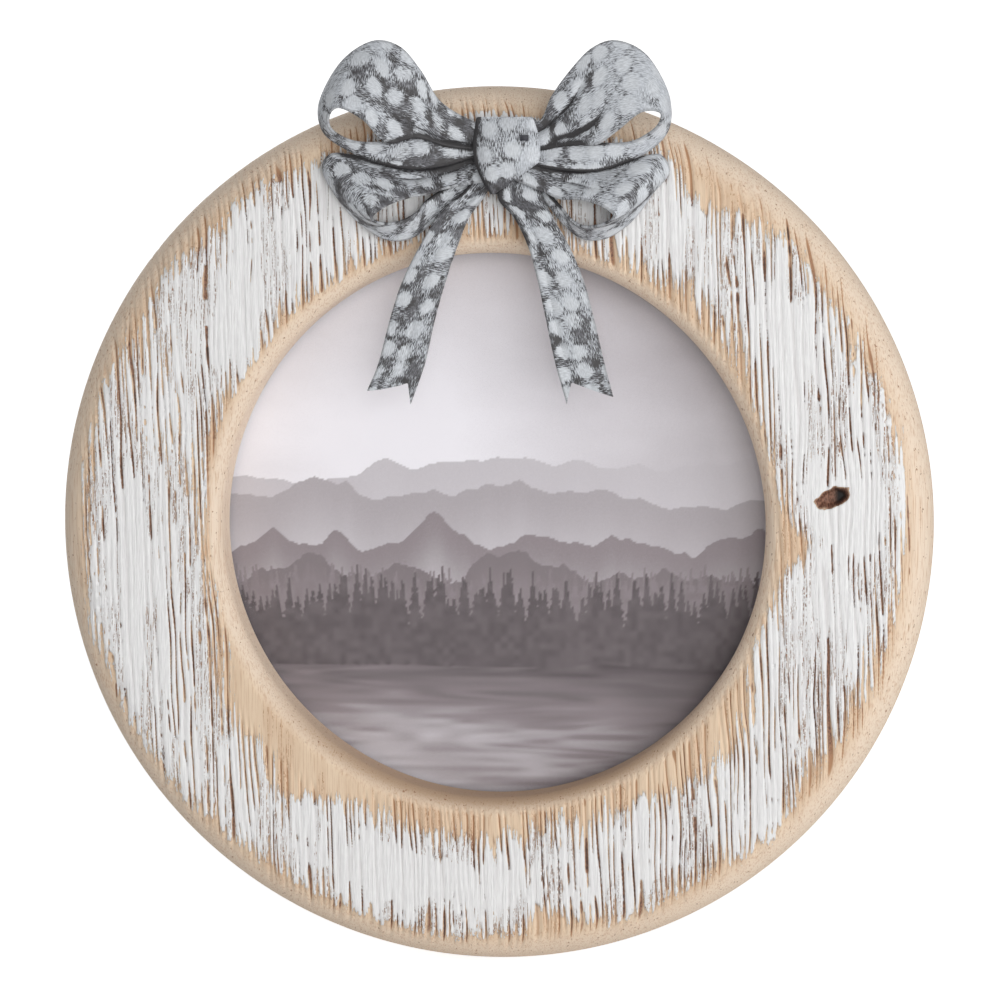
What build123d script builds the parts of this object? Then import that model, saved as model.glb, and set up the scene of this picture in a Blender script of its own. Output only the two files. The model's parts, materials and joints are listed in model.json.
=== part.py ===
from build123d import *
import os
from math import cos, pi, radians, sin, sqrt

# A round wooden photo frame with a sheet-metal ribbon bow, standing on a folding easel leg.
# Every piece is drawn upright first: X to the right, Y to the back, Z up, with the ring's axis on Y, its
# centre on X = Z = 0 and its back face on Y = 0. The pieces are then leaned back and set on the table, Z = 0.
# Sizes are in millimetres and degrees.

# Wooden ring
RING_RADIUS = 100.0
RING_DEPTH = 20.0
APERTURE_RADIUS = 62.0
REBATE_LEDGE = 6.0
FRONT_OUTER_ROUND = 9.0
FRONT_INNER_ROUND = 5.0
BACK_OUTER_ROUND = 3.0
KNOT_HOLE_PLACE = (77.5, 7.5)
KNOT_HOLE_LENGTH = 8.0
KNOT_HOLE_WIDTH = 4.4
KNOT_HOLE_DEPTH = 3.0
KNOT_HOLE_TURN = 22.0

# Pieces stacked in the rebate, from the ledge to the back
GLASS_THICKNESS = 2.0
PRINT_THICKNESS = 0.3
CARD_THICKNESS = 1.7
PANEL_THICKNESS = 3.0
REBATE_CLEARANCE = 0.3

# Turn buttons
BUTTON_COUNT = 4
BUTTON_FIRST_ANGLE = 45.0
BUTTON_WIDTH = 10.0
BUTTON_THICKNESS = 1.0
BUTTON_TAIL = 5.0
BUTTON_HOLD = 6.5
BUTTON_SCREW_INSET = 10.0
BUTTON_FLOAT = 0.1
BUTTON_BORE_CLEARANCE = 0.1

# Round-head wood screws of the turn buttons and the hanger
SCREW_SHANK_RADIUS = 1.5
SCREW_HEAD_RADIUS = 3.0
SCREW_HEAD_HEIGHT = 1.8
SCREW_BITE = 9.0
SCREW_SLOT_WIDTH = 0.8
SCREW_SLOT_DEPTH = 0.8
PILOT_CLEARANCE = 0.05

# Easel leg and its hinge
LEAN = 15.0
LEG_OPEN = 29.0
LEG_THICKNESS = 3.0
LEG_TOP_WIDTH = 34.0
LEG_FOOT_WIDTH = 60.0
LEG_CORNER = 4.0
HINGE_HEIGHT = 38.0
LEAF_THICKNESS = 0.8
LEAF_WIDTH = 28.0
LEAF_LENGTH = 18.0
BARREL_RADIUS = 2.5
PIN_RADIUS = 1.2
PIN_CLEARANCE = 0.05
KNUCKLE_LENGTH = 8.0
KNUCKLE_GAP = 0.3
LEG_TOP_GAP = 1.0
EAR_WIDTH = 3.0
EAR_GAP = 0.6
STOP_GAP = 0.02
PIN_HEAD_RADIUS = 1.9
PIN_HEAD_LENGTH = 0.8
RIVET_RADIUS = 1.5
RIVET_HEAD_RADIUS = 2.6
RIVET_HEAD_HEIGHT = 1.2
RIVET_CLEARANCE = 0.03
RIVET_EDGE = 5.0

# Hanger
HANGER_SCREW_HEIGHT = 76.0
HANGER_RISE = 7.0
STRAP_WIDTH = 8.0
STRAP_THICKNESS = 0.8
HANGER_WIRE_RADIUS = 0.9
HANGER_WIRE_CLEARANCE = 0.08
HANGER_RING_WIDTH = 14.0
HANGER_RING_DROP = 14.0

# Bow, placed by the middle of its knot; its layers are counted from the wood
BOW_X = 4.5
BOW_Z = 84.9
SHEET = 1.0
LAYER_GAP = 0.2
RIBBON_CROWN = 0.05
RIBBON_STEPS = 2
FLAT_RISE = 0.01
KNOT_HALF_WIDTH = 7.4
KNOT_TOP = 8.0
KNOT_BOTTOM = 10.5
KNOT_APEX = 9.2
KNOT_SHOULDER = 6.6
KNOT_CHIN = 6.4
KNOT_BACK_ROUND = 1.6
NOTCH_DEPTH = 4.0
NOTCH_TIP = 0.5
NOTCH_SHARE = 0.22

# Brad through the knot
BRAD_PLACE = (4.2, 3.2)
BRAD_RADIUS = 0.6
BRAD_LENGTH = 18.0
BRAD_HEAD = (1.9, 1.3, 0.6)
BRAD_SINK = 0.35
BRAD_CLEARANCE = 0.05

# Sizes that follow
REBATE_RADIUS = APERTURE_RADIUS + REBATE_LEDGE
REBATE_DEPTH = GLASS_THICKNESS + PRINT_THICKNESS + CARD_THICKNESS + PANEL_THICKNESS
DISC_RADIUS = REBATE_RADIUS - REBATE_CLEARANCE
BUTTON_CIRCLE = REBATE_RADIUS + BUTTON_SCREW_INSET
BUTTON_REACH = BUTTON_SCREW_INSET + REBATE_CLEARANCE + BUTTON_HOLD
PIVOT_Y = BARREL_RADIUS
LEG_BACK = PIVOT_Y + BARREL_RADIUS - LEAF_THICKNESS
LEG_TOP = HINGE_HEIGHT - BARREL_RADIUS - LEG_TOP_GAP
TABLE_Z = (
    BACK_OUTER_ROUND * sin(radians(LEAN))
    - (RING_RADIUS - BACK_OUTER_ROUND) * cos(radians(LEAN))
    - BACK_OUTER_ROUND
)
HANGER_PIVOT_Y = HANGER_WIRE_RADIUS + HANGER_WIRE_CLEARANCE + STRAP_THICKNESS
HANGER_PIVOT_Z = HANGER_SCREW_HEIGHT + HANGER_RISE
RING_FRONT = -RING_DEPTH


def layer(number):
    """Depth of the middle of a sheet in the knot's stack, counted from 1 at the knot's own back wall."""
    return SHEET + (number - 1) * (SHEET + LAYER_GAP) + LAYER_GAP + SHEET / 2


# Edges of the bow's ribbons: pairs of outer and inner edge, X and Z from the middle of the knot.
# A loop runs from its front root round its eye to its back root.
UPPER_LEFT_LOOP = [
    ((-0.6, 5.0), (-0.6, 0.4)),
    ((-7.3, 6.8), (-7.3, 1.8)),
    ((-15.1, 11.5), (-14.1, 2.9)),
    ((-19.6, 18.6), (-20.2, 4.7)),
    ((-24.1, 23.6), (-26.8, 3.3)),
    ((-30.4, 24.9), (-31.8, 7.0)),
    ((-37.5, 20.3), (-37.1, 9.8)),
    ((-42.7, 10.8), (-39.8, 8.3)),
    ((-41.9, 4.7), (-39.7, 5.4)),
    ((-36.3, 0.4), (-35.4, 2.8)),
    ((-28.3, -2.7), (-27.3, 2.4)),
    ((-21.5, -3.9), (-20.5, 3.8)),
    ((-14.4, -3.2), (-14.3, 2.1)),
    ((-7.4, -1.3), (-7.4, 1.1)),
    ((-0.6, -0.8), (-0.6, 2.4)),
]
UPPER_RIGHT_LOOP = [
    ((0.6, 5.0), (0.6, 0.4)),
    ((7.3, 7.2), (7.3, 1.8)),
    ((10.0, 12.6), (12.0, 2.7)),
    ((14.4, 18.5), (16.6, 3.1)),
    ((18.9, 23.1), (20.6, 2.8)),
    ((24.3, 24.9), (25.1, 4.7)),
    ((31.1, 21.7), (30.4, 8.8)),
    ((36.1, 12.7), (34.8, 8.5)),
    ((36.3, 5.5), (33.6, 5.6)),
    ((32.2, 0.5), (29.0, 2.8)),
    ((25.9, -2.5), (24.8, 2.1)),
    ((20.3, -4.2), (19.5, 2.2)),
    ((12.9, -4.1), (13.0, 2.0)),
    ((7.1, -3.2), (7.1, 1.1)),
    ((0.6, -0.8), (0.6, 2.4)),
]
LOWER_LEFT_LOOP = [
    ((-0.6, -1.5), (-0.6, -6.0)),
    ((-7.5, -2.1), (-7.4, -7.1)),
    ((-14.7, -3.7), (-12.9, -8.0)),
    ((-21.8, -4.2), (-18.2, -9.5)),
    ((-29.2, -3.0), (-22.3, -10.3)),
    ((-35.8, -0.9), (-26.2, -11.7)),
    ((-40.8, -0.5), (-28.9, -13.3)),
    ((-42.5, -3.6), (-30.2, -14.5)),
    ((-39.0, -10.3), (-29.9, -15.5)),
    ((-33.9, -16.1), (-27.6, -16.1)),
    ((-27.9, -19.7), (-24.0, -15.4)),
    ((-22.2, -19.4), (-20.5, -13.3)),
    ((-17.4, -16.1), (-18.4, -10.5)),
    ((-7.7, -8.0), (-9.3, -5.4)),
    ((-2.0, -6.2), (-2.0, -2.6)),
]
LOWER_RIGHT_LOOP = [
    ((0.6, -1.5), (0.6, -6.0)),
    ((7.1, -4.0), (8.1, -9.0)),
    ((12.7, -4.8), (11.9, -10.5)),
    ((17.7, -4.9), (15.9, -10.5)),
    ((23.9, -4.0), (19.9, -11.5)),
    ((30.1, -1.3), (23.0, -13.1)),
    ((34.3, -0.6), (24.0, -14.1)),
    ((36.2, -3.9), (23.6, -15.1)),
    ((32.9, -8.5), (22.2, -15.9)),
    ((27.8, -15.3), (19.2, -16.7)),
    ((22.2, -19.2), (16.3, -16.4)),
    ((16.9, -19.5), (13.9, -14.8)),
    ((12.4, -16.4), (11.9, -12.3)),
    ((8.4, -11.6), (9.2, -9.0)),
    ((3.5, -6.4), (5.5, -3.8)),
]
LEFT_TAIL = [
    ((-6.5, -4.5), (-1.5, -2.5)),
    ((-10.4, -9.0), (-5.2, -9.6)),
    ((-15.6, -14.0), (-8.6, -14.4)),
    ((-19.8, -20.8), (-11.2, -20.8)),
    ((-23.9, -28.7), (-13.9, -28.7)),
    ((-27.0, -37.8), (-16.5, -37.7)),
    ((-29.7, -47.7), (-18.8, -47.6)),
    ((-32.1, -53.7), (-21.9, -56.6)),
]
RIGHT_TAIL = [
    ((0.6, -2.6), (6.4, -2.6)),
    ((-2.5, -9.9), (7.9, -9.9)),
    ((1.2, -14.3), (10.1, -14.3)),
    ((4.5, -21.0), (13.8, -20.7)),
    ((6.6, -28.6), (17.1, -28.6)),
    ((8.4, -37.6), (19.5, -37.6)),
    ((10.4, -47.2), (21.7, -47.1)),
    ((13.0, -56.2), (23.8, -54.7)),
]

# Heights of those edges above the wood, from root to root
UPPER_OUTER_HEIGHT = [
    layer(4), 5.4, 5.8, 6.2, 6.2, 5.8, 5.2, 4.8, 4.7, 4.7, 4.9, 5.0, 4.8, 4.2, layer(3)
]
UPPER_INNER_HEIGHT = [
    layer(4), 5.6, 7.0, 8.4, 9.4, 10.2, 10.2, 9.0, 7.6, 6.4, 6.0, 6.2, 5.4, 4.4, layer(3)
]
LOWER_OUTER_HEIGHT = [
    layer(3), 4.1, 2.9, 2.3, 2.2, 2.2, 2.0, 1.9, 1.9, 1.9, 1.9, 1.9, 1.9, 1.7, layer(1)
]
LOWER_INNER_HEIGHT = [
    layer(3), 4.8, 5.6, 6.6, 7.2, 7.8, 7.8, 7.4, 6.8, 6.0, 5.0, 3.8, 2.6, 1.9, layer(1)
]
TAIL_HEIGHT = [layer(2), 3.2, 4.4, 4.8, 4.4, 3.6, 3.2, 3.8]


# Helpers
def bar(place, start, end, radius):
    """Round bar along Y at an (X, Z) place."""
    return Pos(place[0], (start + end) / 2, place[1]) * Rot(X=90) * Cylinder(radius, end - start)


def plate(sketch, start, end):
    """Sketch drawn in X and Z, made solid from one Y to another."""
    return extrude(Plane.XZ.offset(-start) * sketch, amount=start - end)


def bow_point(x, z, height):
    """Point given from the middle of the knot and from the ring's front face."""
    return Vector(BOW_X + x, RING_FRONT - height, BOW_Z + z)


def button_places():
    """Angle and (X, Z) of each turn button's screw."""
    for number in range(BUTTON_COUNT):
        angle = BUTTON_FIRST_ANGLE + number * 360 / BUTTON_COUNT
        turn = radians(angle)
        yield angle, (BUTTON_CIRCLE * cos(turn), BUTTON_CIRCLE * sin(turn))


def screw(place, seat):
    """Slotted round-head wood screw along Y whose head sits on the given Y."""
    dome_radius = (SCREW_HEAD_RADIUS**2 + SCREW_HEAD_HEIGHT**2) / (2 * SCREW_HEAD_HEIGHT)
    dome_centre = seat + SCREW_HEAD_HEIGHT - dome_radius
    head = bar(place, seat, seat + SCREW_HEAD_HEIGHT, SCREW_HEAD_RADIUS)
    head &= Pos(place[0], dome_centre, place[1]) * Sphere(dome_radius)
    slot_floor = seat + SCREW_HEAD_HEIGHT - SCREW_SLOT_DEPTH
    slot = plate(
        Pos(*place) * Rectangle(2 * SCREW_HEAD_RADIUS, SCREW_SLOT_WIDTH),
        slot_floor,
        seat + SCREW_HEAD_HEIGHT,
    )
    return head + bar(place, -SCREW_BITE, seat, SCREW_SHANK_RADIUS) - slot


def rivet(place, tail, seat):
    """Dome-head rivet along Y from its flush tail to the head's seat."""
    dome_radius = (RIVET_HEAD_RADIUS**2 + RIVET_HEAD_HEIGHT**2) / (2 * RIVET_HEAD_HEIGHT)
    dome_centre = seat + RIVET_HEAD_HEIGHT - dome_radius
    head = bar(place, seat, seat + RIVET_HEAD_HEIGHT, RIVET_HEAD_RADIUS)
    head &= Pos(place[0], dome_centre, place[1]) * Sphere(dome_radius)
    return head + bar(place, tail, seat, RIVET_RADIUS)


# Wooden ring
def ring_profile():
    """Section of the ring: radius along X, depth along Y."""
    front_outer = (RING_RADIUS - FRONT_OUTER_ROUND, RING_FRONT + FRONT_OUTER_ROUND)
    front_inner = (APERTURE_RADIUS + FRONT_INNER_ROUND, RING_FRONT + FRONT_INNER_ROUND)
    back_outer = (RING_RADIUS - BACK_OUTER_ROUND, -BACK_OUTER_ROUND)
    return make_face(
        [
            CenterArc(front_inner, FRONT_INNER_ROUND, 180, 90),
            Line((front_inner[0], RING_FRONT), (front_outer[0], RING_FRONT)),
            CenterArc(front_outer, FRONT_OUTER_ROUND, -90, 90),
            Line((RING_RADIUS, front_outer[1]), (RING_RADIUS, back_outer[1])),
            CenterArc(back_outer, BACK_OUTER_ROUND, 0, 90),
            Polyline(
                (back_outer[0], 0),
                (REBATE_RADIUS, 0),
                (REBATE_RADIUS, -REBATE_DEPTH),
                (APERTURE_RADIUS, -REBATE_DEPTH),
                (APERTURE_RADIUS, front_inner[1]),
            ),
        ]
    )


def knot_hole():
    """Tapered pocket left in the wood by a loose knot."""
    mouth = Ellipse(KNOT_HOLE_LENGTH / 2, KNOT_HOLE_WIDTH / 2)
    floor = Ellipse(KNOT_HOLE_LENGTH / 4, KNOT_HOLE_WIDTH / 4)
    turned = Pos(*KNOT_HOLE_PLACE) * Rot(Z=KNOT_HOLE_TURN)
    front = Plane.XZ.offset(-RING_FRONT) * turned * mouth
    bottom = Plane.XZ.offset(-RING_FRONT - KNOT_HOLE_DEPTH) * turned * floor
    return loft([front, bottom])


def frame_ring():
    ring = revolve(ring_profile(), Axis.Y)
    pilot = SCREW_SHANK_RADIUS + PILOT_CLEARANCE
    screw_places = [place for angle, place in button_places()] + [(0, HANGER_SCREW_HEIGHT)]
    for place in screw_places:
        ring -= bar(place, -SCREW_BITE - PILOT_CLEARANCE, 0, pilot)
    ring -= brad_hole(RING_FRONT, RING_FRONT + BRAD_LENGTH - brad_seat() + BRAD_CLEARANCE)
    return ring - knot_hole()


# Stack in the rebate
def rebate_disc(thickness, rest):
    """Disc that fills the rebate over the given thickness, on top of what rests below it."""
    start = -REBATE_DEPTH + rest
    return bar((0, 0), start, start + thickness, DISC_RADIUS)


def glazing():
    return rebate_disc(GLASS_THICKNESS, 0)


def photo_print():
    return rebate_disc(PRINT_THICKNESS, GLASS_THICKNESS)


def backing_card():
    return rebate_disc(CARD_THICKNESS, GLASS_THICKNESS + PRINT_THICKNESS)


def back_panel():
    panel = rebate_disc(PANEL_THICKNESS, REBATE_DEPTH - PANEL_THICKNESS)
    for place in panel_rivet_places():
        panel -= bar(place, -PANEL_THICKNESS, 0, RIVET_RADIUS + RIVET_CLEARANCE)
    return panel


# Turn buttons
def turn_button(angle, place):
    """Round-ended strip that turns on its screw and reaches over the panel's edge."""
    length = BUTTON_TAIL + BUTTON_REACH
    middle = (BUTTON_REACH - BUTTON_TAIL) / 2
    outline = Pos(-middle, 0) * SlotOverall(length, BUTTON_WIDTH)
    outline -= Circle(SCREW_SHANK_RADIUS + BUTTON_BORE_CLEARANCE)
    return plate(
        Pos(*place) * Rot(Z=angle) * outline,
        BUTTON_FLOAT,
        BUTTON_FLOAT + BUTTON_THICKNESS,
    )


def turn_button_screws():
    seat = 2 * BUTTON_FLOAT + BUTTON_THICKNESS
    return Compound([screw(place, seat).solid() for angle, place in button_places()])


# Easel hinge and leg, drawn with the leg folded flat
def panel_rivet_places():
    reach = LEAF_WIDTH / 2 - RIVET_EDGE
    height = HINGE_HEIGHT + LEAF_LENGTH - RIVET_EDGE
    return [(-reach, height), (reach, height)]


def leg_rivet_places():
    reach = LEAF_WIDTH / 2 - RIVET_EDGE
    height = HINGE_HEIGHT - LEAF_LENGTH + RIVET_EDGE
    return [(-reach, height), (reach, height)]


def knuckle(start, end):
    """Barrel of a hinge leaf along X, bored for the pin."""
    middle = Pos((start + end) / 2, PIVOT_Y, HINGE_HEIGHT) * Rot(Y=90)
    return middle * Cylinder(BARREL_RADIUS, end - start)


def pin_bore():
    return Pos(0, PIVOT_Y, HINGE_HEIGHT) * Rot(Y=90) * Cylinder(PIN_RADIUS + PIN_CLEARANCE, 2 * LEAF_WIDTH)


def centre_knuckle_half():
    """Half the length of the leg leaf's knuckle, between the two of the panel leaf."""
    return LEAF_WIDTH / 2 - KNUCKLE_LENGTH


def hinge_leaf_panel():
    """Leaf on the panel, above the pin, with the two outer knuckles."""
    inner = centre_knuckle_half()
    outer = LEAF_WIDTH / 2
    sketch = Pos(0, HINGE_HEIGHT + LEAF_LENGTH / 2) * Rectangle(LEAF_WIDTH, LEAF_LENGTH)
    sketch -= Pos(0, HINGE_HEIGHT) * Rectangle(2 * inner, 2 * (BARREL_RADIUS + KNUCKLE_GAP))
    corners = sketch.vertices().group_by(Axis.Y)[-1]
    leaf = plate(fillet(corners, RIVET_EDGE / 2), 0, LEAF_THICKNESS)
    leaf += knuckle(-outer, -inner)
    leaf += knuckle(inner, outer)
    for place in panel_rivet_places():
        leaf -= bar(place, 0, LEAF_THICKNESS, RIVET_RADIUS + RIVET_CLEARANCE)
    return leaf - pin_bore()


def hinge_leaf_leg():
    """Leaf on the leg's back, with the middle knuckle and two ears that stop the leg when it is open."""
    inner = centre_knuckle_half() - KNUCKLE_GAP
    ear_inside = LEAF_WIDTH / 2 + EAR_GAP
    ear_outside = ear_inside + EAR_WIDTH
    ear_top = (PIVOT_Y + BARREL_RADIUS) / sin(radians(LEG_OPEN))
    neck = BARREL_RADIUS + KNUCKLE_GAP
    outline = Polyline(
        (-ear_outside, ear_top),
        (-ear_outside, -neck - EAR_WIDTH),
        (-LEAF_WIDTH / 2, -LEAF_LENGTH),
        (LEAF_WIDTH / 2, -LEAF_LENGTH),
        (ear_outside, -neck - EAR_WIDTH),
        (ear_outside, ear_top),
        (ear_inside, ear_top),
        (ear_inside, -neck),
        (inner, -neck),
        (inner, 0),
        (-inner, 0),
        (-inner, -neck),
        (-ear_inside, -neck),
        (-ear_inside, ear_top),
        close=True,
    )
    leaf = plate(Pos(0, HINGE_HEIGHT) * make_face(outline), LEG_BACK, LEG_BACK + LEAF_THICKNESS)
    leaf += knuckle(-inner, inner)
    for place in leg_rivet_places():
        leaf -= bar(place, LEG_BACK, LEG_BACK + LEAF_THICKNESS, RIVET_RADIUS + RIVET_CLEARANCE)
    return leaf - pin_bore()


def hinge_pin():
    """Pin through the knuckles, with a head at each end."""
    half = LEAF_WIDTH / 2 + PIN_HEAD_LENGTH / 4
    pin = Cylinder(PIN_RADIUS, 2 * half)
    for side in (-1, 1):
        pin += Pos(0, 0, side * half) * Cylinder(PIN_HEAD_RADIUS, PIN_HEAD_LENGTH / 2)
    return Pos(0, PIVOT_Y, HINGE_HEIGHT) * Rot(Y=90) * pin


def panel_rivets():
    rivets = [rivet(place, -PANEL_THICKNESS, LEAF_THICKNESS) for place in panel_rivet_places()]
    return Compound([each.solid() for each in rivets])


def leg_rivets():
    tail = LEG_BACK - LEG_THICKNESS
    rivets = [rivet(place, tail, LEG_BACK + LEAF_THICKNESS) for place in leg_rivet_places()]
    return Compound([each.solid() for each in rivets])


def easel_leg():
    """Tapered board, longer than needed: the table plane cuts its foot."""
    foot = -RING_RADIUS - LEG_THICKNESS * 4
    outline = Polyline(
        (-LEG_TOP_WIDTH / 2, LEG_TOP),
        (-LEG_FOOT_WIDTH / 2, foot),
        (LEG_FOOT_WIDTH / 2, foot),
        (LEG_TOP_WIDTH / 2, LEG_TOP),
        close=True,
    )
    face = make_face(outline)
    corners = face.vertices().group_by(Axis.Y)[-1]
    leg = plate(fillet(corners, LEG_CORNER), LEG_BACK - LEG_THICKNESS, LEG_BACK)
    for place in leg_rivet_places():
        leg -= bar(place, LEG_BACK - LEG_THICKNESS, LEG_BACK, RIVET_RADIUS + RIVET_CLEARANCE)
    return leg


def opened(piece):
    """Swing a piece of the leg out to its stop."""
    pivot = Pos(0, PIVOT_Y, HINGE_HEIGHT)
    return pivot * Rot(X=LEG_OPEN) * pivot.inverse() * piece


def stopped(leaf):
    """Cut the opened leaf's ears where they land on the panel."""
    room = 4 * LEAF_WIDTH
    behind = Pos(0, STOP_GAP - room / 2, HINGE_HEIGHT) * Box(room, room, room)
    return leaf - behind


# Hanger
def hanger_strap():
    """Strap folded round the hanger's wire and held by one screw."""
    outline = Pos(0, HANGER_SCREW_HEIGHT + HANGER_RISE / 2) * Rectangle(STRAP_WIDTH, HANGER_RISE)
    outline += Pos(0, HANGER_SCREW_HEIGHT) * Circle(STRAP_WIDTH / 2)
    fold = Pos(0, HANGER_PIVOT_Y, HANGER_PIVOT_Z) * Rot(Y=90) * Cylinder(HANGER_PIVOT_Y, STRAP_WIDTH)
    strap = plate(outline, 0, STRAP_THICKNESS) + fold
    strap -= bar((0, HANGER_SCREW_HEIGHT), 0, STRAP_THICKNESS, SCREW_SHANK_RADIUS + PILOT_CLEARANCE)
    wire_room = HANGER_WIRE_RADIUS + HANGER_WIRE_CLEARANCE
    return strap - Pos(0, HANGER_PIVOT_Y, HANGER_PIVOT_Z) * Rot(Y=90) * Cylinder(wire_room, 2 * STRAP_WIDTH)


def hanger_screw():
    return screw((0, HANGER_SCREW_HEIGHT), STRAP_THICKNESS)


def hanger_ring():
    """D-shaped wire ring: its straight side lies in the strap's fold, its bow hangs plumb."""
    half = HANGER_RING_WIDTH / 2
    bend = 3 * HANGER_WIRE_RADIUS
    shoulder = -(HANGER_RING_DROP - half)
    path = Wire(
        [
            Line((-half + bend, 0), (half - bend, 0)),
            CenterArc((half - bend, -bend), bend, 0, 90),
            Line((half, -bend), (half, shoulder)),
            CenterArc((0, shoulder), half, 180, 180),
            Line((-half, shoulder), (-half, -bend)),
            CenterArc((-half + bend, -bend), bend, 90, 90),
        ]
    )
    path = Plane.XZ * path
    start = Plane(origin=path @ 0, z_dir=path % 0)
    wire = sweep(start * Circle(HANGER_WIRE_RADIUS), path)
    return Pos(0, HANGER_PIVOT_Y, HANGER_PIVOT_Z) * Rot(X=LEAN) * wire


# Bow
def smooth_stations(points, knots):
    """Points between stations on a curve that follows them without swinging wide."""
    last = len(points) - 1
    slopes = []
    for i in range(last + 1):
        before = max(i - 1, 0)
        after = min(i + 1, last)
        slope = (points[after] - points[before]) / (knots[after] - knots[before])
        if 0 < i < last:
            ahead = (points[after] - points[i]) / (knots[after] - knots[i])
            behind = (points[i] - points[before]) / (knots[i] - knots[before])
            slope = ahead + behind - slope
        slopes.append(slope)
    curve = []
    for i in range(last):
        span = knots[i + 1] - knots[i]
        for step in range(RIBBON_STEPS):
            t = step / RIBBON_STEPS
            curve.append(
                points[i] * (1 + 2 * t) * (1 - t) ** 2
                + slopes[i] * span * t * (1 - t) ** 2
                + points[i + 1] * t**2 * (3 - 2 * t)
                + slopes[i + 1] * span * t**2 * (t - 1)
            )
    return curve + [points[last]]


def ribbon(edges, outer_height, inner_height):
    """Sheet ribbon lofted between its two edges, crowned towards the viewer and flat at its roots."""
    outer = [bow_point(*pair[0], height) for pair, height in zip(edges, outer_height)]
    inner = [bow_point(*pair[1], height) for pair, height in zip(edges, inner_height)]
    knots = [0]
    for i in range(1, len(edges)):
        step = (outer[i] + inner[i] - outer[i - 1] - inner[i - 1]).length / 2
        knots.append(knots[-1] + sqrt(step))
    outer = smooth_stations(outer, knots)
    inner = smooth_stations(inner, knots)
    last = len(outer) - 1
    middle = [(outer[i] + inner[i]) * 0.5 for i in range(last + 1)]
    facing = (middle[1] - middle[0]).cross(outer[0] - inner[0])
    side = 1 if facing.Y < 0 else -1
    sections = []
    for i in range(last + 1):
        across = outer[i] - inner[i]
        along = middle[min(i + 1, last)] - middle[max(i - 1, 0)]
        normal = along.cross(across).normalized() * side
        half = normal * (SHEET / 2)
        rise = normal * (RIBBON_CROWN * across.length * sin(pi * i / last) ** 2 + FLAT_RISE)
        sections.append(
            Wire(
                [
                    ThreePointArc(outer[i] + half, middle[i] + half + rise, inner[i] + half),
                    Line(inner[i] + half, inner[i] - half),
                    ThreePointArc(inner[i] - half, middle[i] - half + rise, outer[i] - half),
                    Line(outer[i] - half, outer[i] + half),
                ]
            )
        )
    return Solid.make_loft(sections)


def bow_tail(edges, notch_share):
    """Tail ribbon with a V cut in its end, whose apex lies at a share of the way across."""
    tail = ribbon(edges, TAIL_HEIGHT, TAIL_HEIGHT)
    first = Vector(*edges[-1][0])
    second = Vector(*edges[-1][1])
    tip = (second - first).normalized() * NOTCH_TIP
    inward = (Vector(*edges[-2][0]) + Vector(*edges[-2][1]) - first - second).normalized() * NOTCH_DEPTH
    corners = [
        first + (second - first) * notch_share + inward,
        second - tip,
        second - tip - inward,
        first + tip - inward,
        first + tip,
    ]
    wedge = Polyline([(corner.X, corner.Y) for corner in corners], close=True)
    cutter = Pos(BOW_X, BOW_Z) * make_face(wedge)
    return tail - plate(cutter, RING_FRONT - 2 * KNOT_APEX, RING_FRONT + SHEET)


def knot_front(z):
    """Height of the knot's outer face above the wood, at a height above its middle."""
    rise = KNOT_APEX - KNOT_SHOULDER
    radius = (KNOT_TOP**2 + rise**2) / (2 * rise)
    return KNOT_APEX - radius + sqrt(radius**2 - z**2)


def brad_seat():
    """Height above the wood of the flat on which the brad's head sits."""
    return knot_front(BRAD_PLACE[1]) - BRAD_SINK


def brad_hole(start, end):
    place = (BOW_X + BRAD_PLACE[0], BOW_Z + BRAD_PLACE[1])
    return bar(place, start, end, BRAD_RADIUS + BRAD_CLEARANCE)


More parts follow.
